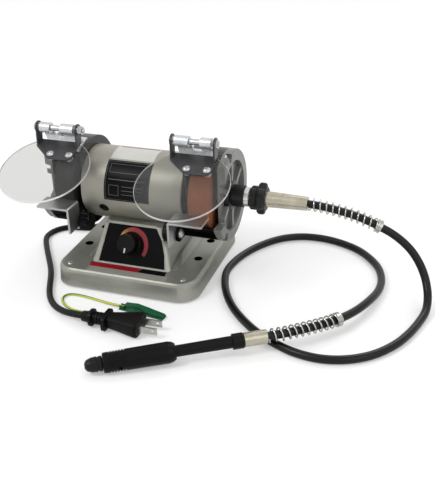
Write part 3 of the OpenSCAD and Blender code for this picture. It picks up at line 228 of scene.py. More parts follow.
satin = {"grain": 0.5, "rough": (0.3, 0.42), "depth": 0.02, "gloss": 0.12}
grit = {"grain": 0.55, "rough": (0.8, 0.95), "depth": 0.25, "strength": 0.8, "gloss": 0.2}
looks = {
    "sheetSteel": {"tones": ((96, 96, 98), (136, 136, 138)), "metal": 0.8, "rough": (0.35, 0.55),
        "stretch": (0.2, 1, 1)},
    "footRubber": {"tones": ((8, 8, 8), (20, 20, 20)), "rough": (0.6, 0.8), "depth": 0.06, "gloss": 0.15},
    "screwZinc": {"tones": ((136, 138, 139), (212, 214, 213)), "blotch": 3, "metal": 0.95,
        "rough": (0.2, 0.38)},
    "panelBlack": {**satin, "tones": ((3, 3, 4), (10, 9, 11)), "depth": 0.01, "gloss": 0.07},
    "bellBlack": {"tones": ((12, 12, 13), (28, 28, 28)), "rough": (0.4, 0.55), "depth": 0.05, "gloss": 0.2},
    "laminations": {"tones": ((80, 80, 84), (124, 124, 128)), "grain": 0.5, "stretch": (1, 0.05, 0.05),
        "metal": 0.8, "depth": 0.05},
    "copperWire": {"tones": ((130, 60, 26), (196, 110, 58)), "grain": 0.6, "stretch": (1, 0.08, 0.08),
        "metal": 0.85, "rough": (0.25, 0.4), "depth": 0.1},
    "bearingSteel": {"tones": ((140, 140, 140), (190, 190, 190)), "metal": 1.0, "rough": (0.15, 0.3),
        "depth": 0.01},
    "brass": {"tones": ((160, 120, 52), (204, 168, 88)), "metal": 1.0, "rough": (0.25, 0.4), "depth": 0.01},
    "carbon": {"tones": ((20, 20, 22), (44, 44, 46)), "rough": (0.5, 0.7), "grain": 0.4, "gloss": 0.2},
    "board": {"tones": ((12, 62, 36), (28, 92, 54)), "grain": 0.6, "rough": (0.35, 0.5), "coat": 0.3},
    "fanPlastic": {"tones": ((186, 180, 162), (212, 207, 190)), "rough": (0.4, 0.55)},
    "knobPlastic": {**satin, "tones": ((5, 5, 5), (13, 13, 13)), "rough": (0.3, 0.44)},
    "nutPlastic": {"tones": ((12, 13, 14), (32, 32, 33)), "grain": 0.6, "rough": (0.36, 0.5),
        "depth": 0.04, "gloss": 0.25},
    "plugRubber": {**satin, "tones": ((6, 5, 5), (14, 12, 12)), "rough": (0.3, 0.46), "depth": 0.04},
    "bracketZinc": {"tones": ((156, 161, 166), (234, 236, 237)), "blotch": 7, "grain": 1.2,
        "metal": 0.7, "rough": (0.2, 0.4), "depth": 0.02},
    "restZinc": {"tones": ((128, 130, 130), (196, 197, 195)), "blotch": 14, "metal": 0.9,
        "rough": (0.24, 0.42), "stretch": (0.15, 1, 1), "depth": 0.02},
    "unionBright": {"tones": ((186, 186, 184), (232, 232, 230)), "blotch": 6, "metal": 0.9,
        "rough": (0.16, 0.26)},
    "nickel": {"tones": ((140, 134, 116), (204, 198, 180)), "blotch": 10, "grain": 0.6, "metal": 1.0,
        "rough": (0.16, 0.3), "stretch": (1, 0.1, 0.1), "depth": 0.008},
    "springSteel": {"tones": ((140, 140, 136), (206, 205, 200)), "blotch": 6, "metal": 1.0,
        "rough": (0.16, 0.3), "depth": 0.005},
    "gripBlack": {**satin, "tones": ((4, 4, 4), (12, 11, 10))},
    "chuckBlack": {"tones": ((10, 10, 10), (26, 25, 24)), "metal": 0.2, "rough": (0.28, 0.4),
        "stretch": (1, 0.1, 0.1), "depth": 0.015, "gloss": 0.2},
    "shieldBlack": {"tones": ((30, 30, 32), (64, 64, 66)), "blotch": 16, "rough": (0.26, 0.4), "gloss": 0.4},
    "greyWheel": {**grit, "tones": ((18, 17, 16), (64, 61, 58)), "blotch": 5, "grainShare": 0.75},
    "brownWheel": {**grit, "tones": ((104, 54, 32), (176, 112, 80)), "blotch": 7, "grainShare": 0.7},
    "clipVinyl": {"tones": ((0, 66, 40), (6, 100, 60)), "grain": 0.7, "rough": (0.25, 0.4), "gloss": 0.35},
    "labelSilver": {"tones": ((148, 146, 137), (170, 168, 160)), "blotch": 12, "metal": 0.3,
        "rough": (0.3, 0.4), "depth": 0.005},
    "labelWhite": {"tones": ((176, 176, 170), (200, 200, 194)), "blotch": 12, "rough": (0.3, 0.42),
        "depth": 0.005},
    "labelRed": {"tones": ((126, 8, 24), (156, 18, 34)), "blotch": 8, "rough": (0.3, 0.4),
        "depth": 0.005, "gloss": 0.3},
    "cordTie": {"tones": ((14, 14, 15), (36, 36, 38)), "grain": 0.4, "rough": (0.6, 0.8), "depth": 0.08,
        "gloss": 0.2},
}
finishes = {name: coated(name, look) for name, look in looks.items()}


def castPaint():
    # painted shade in the bench holes: near-black and fully metallic where sqrt((|x| - hole x)^2 + (|y| -
    # hole y)^2) is under the hole's radius
    shadedHole = {"x": 58.5, "y": 19, "radius": 4.15, "tone": (8, 8, 8)}
    look = {**plain, "tones": ((126, 126, 119), (176, 176, 168)), "blotch": 30, "grain": 0.8,
        "grainShare": 0.35, "metal": (0.6, 1.0), "rough": (0.27, 0.41), "depth": 0.05, "strength": 0.35}
    f = Finish("castPaint", {"Specular Tint": (0.55, 0.55, 0.54, 1)})
    x, y, z = f.parts(f.place())
    # mask of the painted shade inside the bench holes
    holeShade = f.reach(abs(x) - shadedHole["x"] / 1000, abs(y) - shadedHole["y"] / 1000) < shadedHole["radius"] / 1000
    fine, cloud = f.mottle(look)
    f.feed("Base Color", f.mix(holeShade, f.paint(cloud, *look["tones"]), tone(*shadedHole["tone"])))
    f.feed("Metallic", between(holeShade, *look["metal"]))
    return f.surface(fine, look)


def axisOf(h):
    # (cos e cos t, cos e sin t, sin e) of its turn t and tilt e
    t, e = radians(h["turn"]), radians(h["tilt"])
    return np.array([cos(e) * cos(t), cos(e) * sin(t), sin(e)])


def tailTones():
    # black metal, then a nickel sleeve where point . axis > nose . axis + tailEnd
    look = {"gap": 0.05, "black": ((5, 5, 5), (14, 13, 12)), "nickel": ((140, 134, 116), (204, 198, 180)),
        "grainShare": 0.4, "metal": (0.05, 0.95), "rough": (0.32, 0.42), "sleeveSmoother": 0.12}
    axis = axisOf(handpiece)
    end = axis @ handpiece["nose"] + handpiece["tailEnd"] + look["gap"]
    f = Finish("tailTones", {"Specular IOR Level": 0.14})
    along = f.node("VectorMath", {"operation": "DOT_PRODUCT"}, {0: f.place(), 1: axis.tolist()}, "Value")
    sleeve = along > end / 1000
    fine = f.noise(0.6)
    wide = f.noise(9)
    cloud = wide * (1 - look["grainShare"]) + fine * look["grainShare"]
    f.feed("Base Color", f.mix(sleeve, f.paint(fine, *look["black"]), f.paint(cloud, *look["nickel"])))
    f.feed("Metallic", between(sleeve, *look["metal"]))
    f.feed("Roughness", between(fine, *look["rough"]) - sleeve * look["sleeveSmoother"])
    f.relief(fine, 0.01, 0.4)
    return f.material


def brushedMotor():
    # fine scratches that run round the barrel: noise drawn out along y and z; cloud = half scratch, half wide
    look = {"tones": ((128, 126, 116), (174, 171, 160)), "rough": (0.38, 0.54), "depth": 0.02,
        "strength": 0.4}
    f = Finish("motorSilver", {"Metallic": 0.5})
    scratch = f.noise(0.35, 3, (1, 0.02, 0.02))
    cloud = scratch * 0.5 + f.noise(26, 2) * 0.5
    f.feed("Base Color", f.paint(cloud, *look["tones"]))
    return f.surface(scratch, look)


def coverPaint():
    # grey satin, with a black hub where sqrt(y^2 + z^2) from the motor's axis is under the hub's radius
    hub = {"radius": 15.2, "tone": (12, 12, 13)}
    look = {**plain, "tones": ((88, 88, 86), (140, 140, 136)), "blotch": 24, "grain": 0.8,
        "rough": (0.32, 0.48), "depth": 0.05, "strength": 0.35}
    f = Finish("coverGrey", {"Metallic": 0.35})
    x, y, z = f.parts(f.place((0, motor["y"] / 1000, motor["z"] / 1000)))
    fine, cloud = f.mottle(look)
    grey = f.paint(cloud, *look["tones"])
    f.feed("Base Color", f.mix(f.reach(0.0, y, z) < hub["radius"] / 1000, grey, tone(*hub["tone"])))
    return f.surface(fine, look)


def guardPaint():
    # black enamel with painted shade towards the floor: the painted shade = (top - z) / depth, held to 0 and
    # 1, blends to darker tones and more metal
    shadeFall = {"top": 82, "depth": 25, "metal": 0.9}
    # the lit tones high up, then the darker tones of the painted shade lower down
    look = {**plain, "roof": ((40, 40, 39), (76, 75, 73)), "under": ((10, 10, 10), (24, 23, 22)),
        "blotch": 26, "grain": 0.8, "grainShare": 0.4, "rough": (0.24, 0.36), "depth": 0.04, "strength": 0.35}
    f = Finish("guardBlack", {"Specular IOR Level": 0.2, "Specular Tint": (0.1, 0.1, 0.1, 1)})
    x, y, z = f.parts(f.place())
    # painted shade under the guards: darker colour and more metal, so less white reflection, lower down
    paintedShade = f.node("Math", {"operation": "MULTIPLY", "use_clamp": True},
        {0: z * -1 + shadeFall["top"] / 1000, 1: 1000 / shadeFall["depth"]})
    fine, cloud = f.mottle(look)
    f.feed("Base Color", f.mix(paintedShade, f.paint(cloud, *look["roof"]), f.paint(cloud, *look["under"])))
    f.feed("Metallic", paintedShade * shadeFall["metal"])
    return f.surface(fine, look)


def corded(name, look):
    # jacket by its own map, u round it and v along it: height = 0.5 + 0.5 sin(2 pi rings v) + 0.6 bloom
    f = Finish(name, {"Specular IOR Level": look["gloss"]})
    u, v = f.ownMap()
    rings = v.calc("SINE", v * (2 * pi * look["ringsPerMetre"])) * 0.5 + 0.5
    bloom = f.noise(9)
    f.feed("Base Color", f.paint(bloom, *look["tones"]))
    f.feed("Roughness", between(bloom, *look["rough"]))
    f.relief(rings + bloom * 0.6, look["depth"], 0.5)
    return f.material


def earthStripes():
    # yellow, and green where the part of (u * stripes + v * steps) after the point is under the green share
    look = {"stripes": 2, "stepsPerMetre": 9, "greenShare": 0.42, "yellow": (196, 196, 44),
        "green": (16, 110, 62), "worn": (120, 150, 60), "wear": 0.25, "rough": (0.32, 0.42), "depth": 0.02,
        "strength": 0.4}
    f = Finish("earthJacket", {"Coat Weight": 0.2})
    u, v = f.ownMap()
    lane = u.calc("FRACT", u * look["stripes"] + v * look["stepsPerMetre"])
    bloom = f.noise(3)
    colour = f.paint(lane < look["greenShare"], look["yellow"], look["green"])
    f.feed("Base Color", f.mix(bloom * look["wear"], colour, tone(*look["worn"])))
    return f.surface(bloom, look)


def gaugeBand():
    # u runs from the slow end, yellow, to the fast end, red
    look = {"stops": [(0.0, (206, 184, 104)), (0.18, (188, 140, 50)), (0.3, (150, 50, 40)),
        (0.45, (140, 22, 34)), (1.0, (120, 14, 28))], "speck": (70, 20, 24), "speckShare": 0.2,
        "rough": (0.34, 0.44)}
    f = Finish("gaugeBand", {"Specular IOR Level": 0.4})
    u, v = f.ownMap()
    colour = f.ramp(u, [(place, tone(*colour)) for place, colour in look["stops"]])
    speck = f.noise(0.6)
    f.feed("Base Color", f.mix(speck * look["speckShare"], colour, tone(*look["speck"])))
    f.feed("Roughness", between(speck, *look["rough"]))
    return f.material


def frameLine(u, v, across, along, width):
    # 1 on the outline of a rectangle, 0 elsewhere: the outer rectangle less the inner
    def band(x, low, high):
        return (x > low) * (x < high)
    outer = band(u, *across) * band(v, *along)
    inner = band(u, across[0] + width, across[1] - width) * band(v, along[0] + width, along[1] - width)
    return outer - inner


def motorLabel():
    # black with thin pale lines, by its own map in millimetres; a box is across, along and line width
    look = {"tones": ((7, 7, 8), (18, 18, 19)), "line": (104, 104, 102), "rough": (0.3, 0.42),
        "depth": 0.01, "strength": 0.4}
    boxes = [((1.2, 44.8), (1.2, 39.2), 0.3), ((4, 42), (4, 13), 0.3), ((5, 15), (25, 35), 0.35),
        ((4, 42), (19.4, 20), 0.3), ((18, 41), (25.6, 26), 0.2), ((18, 41), (29.4, 29.8), 0.2),
        ((18, 41), (33.2, 33.6), 0.2)]
    f = Finish("motorLabel", {"Specular IOR Level": 0.07})
    u, v = f.ownMap()
    inset = frameLine(u, v, *boxes[0])
    for box in boxes[1:]:
        inset = inset.calc("MAXIMUM", inset, frameLine(u, v, *box))
    speck = f.noise(0.7)
    f.feed("Base Color", f.mix(inset, f.paint(speck, *look["tones"]), tone(*look["line"])))
    return f.surface(speck, look)


finishes.update({
    "castPaint": castPaint(), "tailTones": tailTones(), "motorSilver": brushedMotor(),
    "coverGrey": coverPaint(), "guardBlack": guardPaint(),
    "sheath": corded("sheathJacket", {"tones": ((7, 6, 6), (18, 15, 14)), "gloss": 0.24,
        "rough": (0.24, 0.38), "ringsPerMetre": 520, "depth": 0.05}),
    "cord": corded("cordJacket", {"tones": ((9, 9, 8), (22, 20, 18)), "gloss": 0.16,
        "rough": (0.36, 0.5), "ringsPerMetre": 90, "depth": 0.03}),
    "earth": earthStripes(), "gauge": gaugeBand(), "motorLabel": motorLabel(),
})
print("materials made:", len(finishes))

worn = {
    "castPaint": "base_casting", "tailTones": "handpiece_tail", "sheetSteel": "bottom_cover",
    "footRubber": "rubber_feet", "unionBright": "shaft_union",
    "screwZinc": "base_screws cover_screws guard_bolts bracket_bolts wheel_nuts",
    "panelBlack": "control_panel", "knobPlastic": "rest_knob_left rest_knob_right brush_caps",
    "bearingSteel": "dial_potentiometer shaft_bearings rotor_shaft wheel_flanges", "board": "control_board",
    "motorSilver": "motor_housing", "bellBlack": "end_bell_left end_bell_right",
    "laminations": "stator_core armature", "copperWire": "field_coils commutator", "brass": "brush_holders",
    "carbon": "carbon_brushes", "guardBlack": "guard_left guard_right",
    "coverGrey": "guard_cover_left guard_cover_right",
    "bracketZinc": "shield_bracket_left shield_bracket_right", "nickel": "coupling_sleeve",
    "gripBlack": "handpiece_body", "chuckBlack": "collet_chuck", "plugRubber": "cord_gland",
    "springSteel": "plug_blades", "clipVinyl": "clip_lower_jaw clip_upper_jaw",
    "nutPlastic": "coupling_nut", "restZinc": "tool_rest_left tool_rest_right", "fanPlastic": "cooling_fan",
    "greyWheel": "wheel_left", "brownWheel": "wheel_right",
}
for finish, names in worn.items():
    for name in names.split():
        for slot in nodes[name].material_slots:
            slot.material = finishes[finish]
print("nodes dressed")


def meshPiece(name, points, faces, finish, body, slot=None, uv=None, crease=35):
    # a closed mesh, from millimetres to metres, with its faces turned outward, that rides on a body
    mesh = bpy.data.meshes.new(name)
    mesh.from_pydata((np.asarray(points) / 1000).tolist(), [], faces)
    if uv is not None:
        layer = mesh.uv_layers.new(name="jacket")
        layer.data.foreach_set("uv", np.asarray(uv, np.float32).ravel())
    shell = bmesh.new()
    shell.from_mesh(mesh)
    bmesh.ops.recalc_face_normals(shell, faces=shell.faces)
    shell.to_mesh(mesh)
    shell.free()
    mesh.polygons.foreach_set("use_smooth", np.ones(len(mesh.polygons), bool))
    mesh.set_sharp_from_angle(angle=radians(crease))
    mesh.materials.append(finishes[finish])
    piece = bpy.data.objects.new(name, mesh)
    scene.collection.objects.link(piece)
    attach(piece, body)
    return piece


def gridFaces(rows, sides, joined=False):
    # quads between neighbouring rings, each closed on itself; joined runs from the last ring to the first
    i = np.arange(rows if joined else rows - 1)[:, None] * sides
    ahead = (i + sides) % (rows * sides)
    k = np.arange(sides)[None, :]
    m = (k + 1) % sides
    return np.stack([i + k, i + m, ahead + m, ahead + k], -1).reshape(-1, 4).tolist()


def solidFaces(rows, sides):
    # the same, with a face over the first and the last ring
    last = (rows - 1) * sides
    return gridFaces(rows, sides) + [list(range(sides)), list(range(last, last + sides))]


def fullTurn(count):
    return np.linspace(0, 2 * pi, count, endpoint=False)


def reachAlong(path):
    # distance along the path at each of its points: running sum of |next point - point|
    return np.r_[0, np.cumsum(np.linalg.norm(np.diff(path, axis=0), axis=1))]


def squared(wave, power):
    # sign(wave) * |wave|^power
    return np.sign(wave) * np.abs(wave) ** power


def carried(path):
    # point(t), then side, carried on without twist, and over = heading x side, where heading = d point / dt
    p = np.asarray(path, float)
    h = np.gradient(p, axis=0)
    h /= np.linalg.norm(h, axis=1)[:, None]
    side = np.cross(h[0], [0, 0, 1.0]) if abs(h[0][2]) < 0.9 else np.array([1.0, 0, 0])
    sides = []
    for heading in h:
        side = side - heading * (side @ heading)
        side = side / np.linalg.norm(side)
        sides.append(side)
    s = np.array(sides)
    return p, s, np.cross(h, s)


def tube(name, path, radius, sides, finish, body, slot=None, crease=35):
    # surface(t, a) = point(t) + radius * (cos a * side(t) + sin a * over(t)); u round it, v metres along it
    p, s, o = carried(path)
    a = fullTurn(sides)
    ring = np.cos(a)[None, :, None] * s[:, None] + np.sin(a)[None, :, None] * o[:, None]
    points = (p[:, None] + radius * ring).reshape(-1, 3)
    n = len(p)
    reach = reachAlong(p) / 1000
    i, k = np.arange(n - 1)[:, None, None], np.arange(sides)[:, None]
    u, v = np.broadcast_arrays((k + [0, 1, 1, 0]) / sides, reach[i + [0, 0, 1, 1]])
    uv = np.vstack([np.stack([u, v], -1).reshape(-1, 2), np.zeros((2 * sides, 2))])
    return meshPiece(name, points, solidFaces(n, sides), finish, body, slot, uv, crease)


def smooth(route, steps):
    # Catmull-Rom curve: b + 0.5 * ((c-a)t + (2a-5b+4c-d)t^2 + (3b-a-3c+d)t^3)
    p = np.asarray(route, float)
    q = np.vstack([p[:1], p, p[-1:]])
    a, b, c, d = (q[k:len(q) - 3 + k, None] for k in range(4))
    t = (np.arange(steps) / steps)[None, :, None]
    rise = (c - a) * t + (2 * a - 5 * b + 4 * c - d) * t ** 2 + (3 * b - a - 3 * c + d) * t ** 3
    return np.vstack([(b + 0.5 * rise).reshape(-1, 3), p[-1:]])


def evenly(path, gap):
    # the same curve with its points a fixed distance apart
    p = np.asarray(path, float)
    reach = reachAlong(p)
    where = np.linspace(0, reach[-1], max(int(reach[-1] / gap), 2) + 1)
    return np.stack([np.interp(where, reach, p[:, k]) for k in range(3)], 1)


def lengthOf(path):
    # in metres
    return float(reachAlong(path)[-1]) / 1000


def prism(name, outline, low, high, place, finish, body, slot=None):
    # a flat plate: its outline at two heights, then set in place
    flat = np.asarray(outline, float)
    n = len(flat)
    both = np.vstack([np.c_[flat, np.full(n, low)], np.c_[flat, np.full(n, high)]])
    faces = solidFaces(2, n)
    uv = [both[i][:2] for f in faces for i in f]
    return meshPiece(name, place(both), faces, finish, body, slot, uv)


def bentPlate(name, across, angles, lift, thick, finish):
    # plate on the barrel: (x, y, z) = (x, axisY + r cos a, axisZ + r sin a), its map in millimetres
    count = 28
    x = np.linspace(*across, 2)
    a = np.radians(np.linspace(*angles, count))
    inner = motor["radius"] + lift
    rings = []
    for r in (inner, inner + thick):
        y, z = motor["y"] + r * np.cos(a), motor["z"] + r * np.sin(a)
        rings.append(np.stack(np.broadcast_arrays(x[:, None], y[None], z[None]), -1))
    loop = np.concatenate([rings[1], rings[0][:, ::-1]], 1)  # outer face, then back along the inner
    n = loop.shape[1]
    points = loop.reshape(-1, 3)
    faces = gridFaces(2, n)
    for end in (0, n):
        faces += [[end + k, end + k + 1, end + n - 2 - k, end + n - 1 - k] for k in range(count - 1)]
    swept = abs(np.radians(angles[1] - angles[0]))
    arc = np.r_[np.arange(count), np.arange(count)[::-1]] * swept / (count - 1) * inner
    flat = np.stack([np.repeat(x - across[0], n), np.tile(arc, 2)], 1)
    uv = [flat[i] for f in faces for i in f]
    return meshPiece(name, points, faces, finish, "grinder", None, uv, 50)


mains = {
    "radius": 3.0, "exit": (-30, 93.5, 11), "length": 1.8, "coilX": -68.7, "coilY": 126, "turn": 32.7,
    "pitch": 6.05, "coilEnd": 2340, "coilTop": 9.05, "inward": [(305, 350), (665, 710)], "down": (980, 1025),
    "outward": [(1300, 1340), (1660, 1700), (2020, 2060)], "slack": 3,
    "lead": [[-30, 93.5, 11], [-30, 98, 10.95], [-30, 104, 10.5], [-30, 111, 9.8], [-30, 118, 9.25]],
    "run": [
        [-113.4, 116, 3], [-112.1, 108, 3], [-109, 101.5, 3], [-104.1, 96.1, 3], [-98.1, 91.1, 3],
        [-92.1, 86, 3], [-86.1, 81, 3], [-81.6, 76, 3], [-78.5, 69.6, 3], [-77.5, 62.6, 3],
        [-78.7, 55.2, 3], [-82.1, 48.5, 3], [-87.4, 43.2, 3], [-94.1, 39.8, 3], [-101.5, 38.6, 3],
        [-108.9, 37.4, 3], [-115.6, 34, 3], [-120.9, 28.7, 3], [-124.3, 22, 3], [-125.5, 14.6, 3],
        [-124.7, 8.4, 3], [-122.3, 2.6, 3], [-118, -4.9, 3], [-112.5, -13.5, 3], [-105, -24.8, 3],
        [-97, -36.5, 3], [-89, -48.5, 3], [-81.5, -61.5, 3], [-74.5, -76, 3], [-67.5, -90, 3],
        [-59.5, -102.2, 3], [-49.5, -112.2, 3.5], [-38, -119.5, 5], [-25.5, -124.3, 7], [-14, -126, 8]],
}


def coilOf(m, turn):
    # rows step in on the upper layer, down at the middle and out on the floor; a step eases as t^2 * (3 - 2t)
    # r = turn + pitch * (1 - inward + outward), z = top - pitch * down
    a = np.arange(0, m["coilEnd"] + 1, 6.0)
    def step(start, end):
        t = np.clip((a - start) / (end - start), 0, 1)
        return t * t * (3 - 2 * t)
    inward = sum(step(*ends) for ends in m["inward"])
    outward = sum(step(*ends) for ends in m["outward"])
    r = turn + m["pitch"] * (1 - inward + outward)
    z = m["coilTop"] - m["pitch"] * step(*m["down"])
    t = np.radians(a)
    return np.stack([m["coilX"] + r * np.cos(t), m["coilY"] + r * np.sin(t), z], 1)


def mainsPath(m):
    # halves in on the coil's turn, within the slack, until the whole cord has its length
    wanted = m["length"] * 1000
    low, high = m["turn"] - m["slack"], m["turn"] + m["slack"]
    for attempt in range(40):
        turn = (low + high) / 2
        coil = coilOf(m, turn)
        start = smooth(m["lead"] + coil[:1].tolist(), 4)[:-1]
        path = np.vstack([start, coil[:-1], smooth([coil[-1].tolist()] + m["run"], 4)])
        if lengthOf(path) * 1000 > wanted:
            high = turn
        else:
            low = turn
    print("coil turn radius", round(turn, 2), "mm, cord", round(lengthOf(path), 4), "m")
    return path


cordPath = mainsPath(mains)
mainsCord = tube("mainsCord", cordPath, mains["radius"], 14, "cord", "grinder", "cord_black")
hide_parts("mains_cord", "mains_coil")

# angle of each tie, and how many cords it reaches inward and outward of the turn
ties = {"places": [(75, 1.55, 2.6), (250, 1.55, 1.55)], "width": 7, "thick": 0.7, "middle": 6.1, "tall": 6.1,
    "square": 0.45, "floor": 0.8}


def coilTie(name, angle, inward, outward):
    # band in the plane of one radius, above the floor: r = middle + half * sign(cos a) |cos a|^square,
    # z likewise with sin
    t = radians(angle)
    inner = mains["turn"] - 2 * mains["radius"] * inward
    outer = mains["turn"] + 2 * mains["radius"] * outward
    a = fullTurn(40)
    r = (inner + outer) / 2 + (outer - inner) / 2 * squared(np.cos(a), ties["square"])
    z = ties["middle"] + ties["tall"] * squared(np.sin(a), ties["square"])
    def at(reach, height):
        return np.stack([mains["coilX"] + reach * cos(t), mains["coilY"] + reach * sin(t), height], -1)
    loop = at(r, np.maximum(z, ties["floor"]))
    away = loop - at((inner + outer) / 2, ties["middle"])
    away *= ties["thick"] / np.linalg.norm(away, axis=1)[:, None]
    edge = np.array([-sin(t), cos(t), 0.0]) * ties["width"] / 2
    points = np.stack([loop - edge, loop + edge, loop + edge + away, loop - edge + away], 1).reshape(-1, 3)
    return meshPiece(name, points, gridFaces(len(a), 4, True), "cordTie", "grinder", "cord_black")


tiePieces = [coilTie("coilTie%d" % (k + 1), *place) for k, place in enumerate(ties["places"])]

plugEnd = {"place": (-13.8, -126, 8), "turn": 1}


def onPlug(points):
    # x along the plug from its cord end
    t = radians(plugEnd["turn"])
    turn = np.array([[cos(t), sin(t), 0], [-sin(t), cos(t), 0], [0, 0, 1.0]])
    return plugEnd["place"] + points @ turn


def loft(sections, sides):
    # |y / w|^n + |z / h|^n = 1 at each place along x: y = w sign(cos a) |cos a|^(2/n), z likewise with sin
    x, w, h, n = (column[:, None] for column in np.array(sections, float).T)
    a = fullTurn(sides) + pi / sides
    y = w * squared(np.cos(a), 2 / n)
    z = h * squared(np.sin(a), 2 / n)
    points = np.stack([np.broadcast_to(x, y.shape), y, z], -1).reshape(-1, 3)
    return points, solidFaces(len(x), sides)


def plugSections():
    # place, half width, half height and squareness: the collar, three relief rings, then the moulding
    rows = [(0.0, 3.2, 3.2, 2), (0.1, 4.4, 4.4, 2), (0.8, 4.9, 4.9, 2), (7.6, 5.4, 5.4, 2),
        (7.9, 7.4, 7.4, 2.2), (8.3, 7.8, 7.6, 2.4), (10.6, 7.8, 7.6, 2.4), (11.0, 7.4, 7.2, 2.2),
        (11.3, 5.6, 5.6, 2)]
    for k in range(3):
        start = 12.6 + 3.1 * k
        rows += [(start, 5.7, 5.7, 2), (start + 0.15, 4.9, 4.9, 2), (start + 1.1, 4.9, 4.9, 2),
            (start + 1.25, 5.8, 5.8, 2.1)]
    rows += [(21.6, 5.9, 5.6, 2.2), (21.8, 10.2, 6.8, 3.4), (22.2, 10.9, 7.3, 4), (25.2, 11.0, 7.4, 4),
        (25.7, 10.4, 7.0, 3.6), (26.0, 7.2, 5.9, 3.2), (27.5, 7.4, 6.0, 3.4), (36, 9.0, 6.5, 3.8),
        (46, 11.4, 7.1, 4.4), (53, 12.9, 7.4, 5), (55.6, 13.0, 7.3, 5), (56.3, 12.6, 6.9, 5),
        (56.5, 11.9, 6.2, 5)]
    return rows


plugPoints, plugFaces = loft(plugSections(), 88)
plugBody = meshPiece("plugMoulding", onPlug(plugPoints), plugFaces, "plugRubber", "grinder", "black_plastic",
    None, 40)
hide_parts("plug_body")

# the shaft's far end runs into the handpiece through the places in tail, counted from its nose
shaft = {
    "radius": 3.75, "start": [155.6, 1.5, 82.5], "springStart": [160.6, 1.5, 82.5], "tail": (168, 153, 134.5),
    "route": [
        [164.8, 1.5, 82.3], [172, 1.5, 81.8], [182.1, 1.5, 80.6], [193.7, 1.5, 78.6], [205.2, 1.5, 76.1],
        [216.3, 1.5, 72.5], [227.1, 2.7, 67.6], [237.6, 4.4, 61.8], [247.4, 5.7, 54.6], [256.4, 5.8, 46.3],
        [263.9, 4.2, 37.1], [270, 0.2, 27.7], [274.4, -6.4, 18.9], [277, -16.1, 11.3], [277, -29.3, 5.8],
        [273, -46, 3.8], [266, -68, 3.8], [256, -88, 3.8], [241, -106, 3.8], [222, -118, 3.8],
        [201, -123, 3.8], [179, -120.5, 3.8], [159, -112, 3.8], [141, -101, 3.8], [125, -87, 3.8],
        [110, -70, 3.8], [98, -51, 3.8], [89, -30, 3.8], [84, -8, 3.8], [86, 14, 3.8], [93, 36, 3.8],
        [104, 56, 3.8], [119, 73, 3.8], [138, 83, 3.8], [160, 85, 3.8], [181, 80, 3.8], [200, 70, 3.8],
        [215, 55, 3.8], [226, 37, 3.8], [231.5, 16, 3.8], [231.5, -5, 5], [227.5, -26, 7.4],
        [221, -46.7, 9.7], [214.5, -60.8, 11], [207.7, -72, 12.1], [199.2, -82.5, 13],
        [189.9, -91.9, 13.6], [180.4, -100.1, 13.9]],
}
tail = [(handpiece["nose"] + along * axisOf(handpiece)).tolist() for along in shaft["tail"]]
sheathPath = evenly(smooth([shaft["start"]] + shaft["route"] + tail, 10), 3.2)
sheath = tube("shaftSheath", sheathPath, shaft["radius"], 20, "sheath", "grinder", "sheath_black")
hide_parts("flex_sheath")

# ring: places along it and radii, with two rolled edges, a waist and a bore round the sheath
spring = {"length": 65.0, "coil": 5.6, "wire": 0.75, "turns": 11, "perTurn": 22, "gap": 0.5, "lead": 0.1,
    "short": 1.0, "ring": [(0, 4.1), (0, 6.0), (0.4, 6.35), (1.4, 6.35), (1.9, 5.9), (2.6, 5.9), (3.1, 6.35),
        (4.1, 6.35), (4.5, 6.0), (4.5, 4.1)]}


def springOn(name, stretch, s):
    # wire(k) = centre(k) + coil * (cos a * side + sin a * over), a = 2 pi turns k; the ring is at its far end
    p, side, over = carried(evenly(stretch, s["gap"]))
    k = np.linspace(0, 1, s["turns"] * s["perTurn"] + 1)
    where = (s["wire"] + s["lead"] + k * (s["length"] - s["short"])) / s["gap"]
    def at(values):
        return np.stack([np.interp(where, np.arange(len(values)), values[:, c]) for c in range(3)], 1)
    a = 2 * pi * s["turns"] * k
    wire = at(p) + s["coil"] * (np.cos(a)[:, None] * at(side) + np.sin(a)[:, None] * at(over))
    piece = tube(name, wire, s["wire"], 10, "springSteel", "grinder", "spring_steel", 60)
    t = fullTurn(40)
    rows = []
    for along, r in s["ring"]:
        place = int(s["length"] / s["gap"]) + along / s["gap"]
        i, part = int(place), place - int(place)
        middle = p[i] * (1 - part) + p[min(i + 1, len(p) - 1)] * part
        rows.append(middle + r * (np.cos(t)[:, None] * side[i] + np.sin(t)[:, None] * over[i]))
    faces = gridFaces(len(rows), len(t), True)
    ring = meshPiece(name + "Ring", np.concatenate(rows), faces, "springSteel", "grinder", "spring_steel")
    return [piece, ring]


springPieces = springOn("springFirst", smooth([shaft["springStart"]] + shaft["route"][:8], 10), spring)
springPieces += springOn("springLast", smooth(tail[1::-1] + shaft["route"][::-1][:8], 10), spring)
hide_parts("shaft_springs")

earth = {"radius": 1.2, "route": [
    [-10, -123, 8], [-16, -120.3, 7.6], [-24, -116, 5], [-33, -111, 2], [-42, -106, 1.4],
    [-49, -99, 1.3], [-51, -92, 1.3], [-47, -87, 1.3], [-38, -86, 1.3], [-26, -87.5, 1.3],
    [-12, -90, 1.4], [-1, -92.4, 2], [6, -93.3, 2.4], [12.2, -94.1, 2.4]]}
earthPath = smooth(earth["route"], 8)
earthWire = tube("earthWire", earthPath, earth["radius"], 16, "earth", "grinder", "earth_yellow_green")
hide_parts("earth_wire")
print("cords laid:", round(lengthOf(sheathPath), 3), round(lengthOf(earthPath), 3))

panel = {"x": -1.5, "y": -52.5, "z": 20, "slope": 61.6, "dial": (0, 22)}


def onPanel(points):
    # x to the right, y up the slope, z out of it
    t = radians(panel["slope"])
    a, b, c = points.T
    y, z = panel["y"] + b * cos(t) - c * sin(t), panel["z"] + b * sin(t) + c * cos(t)
    return np.stack([panel["x"] + a, y, z], 1)


def onLedge(points):
    # level with the panel's foot
    return points + np.array([0, 0, panel["z"]])


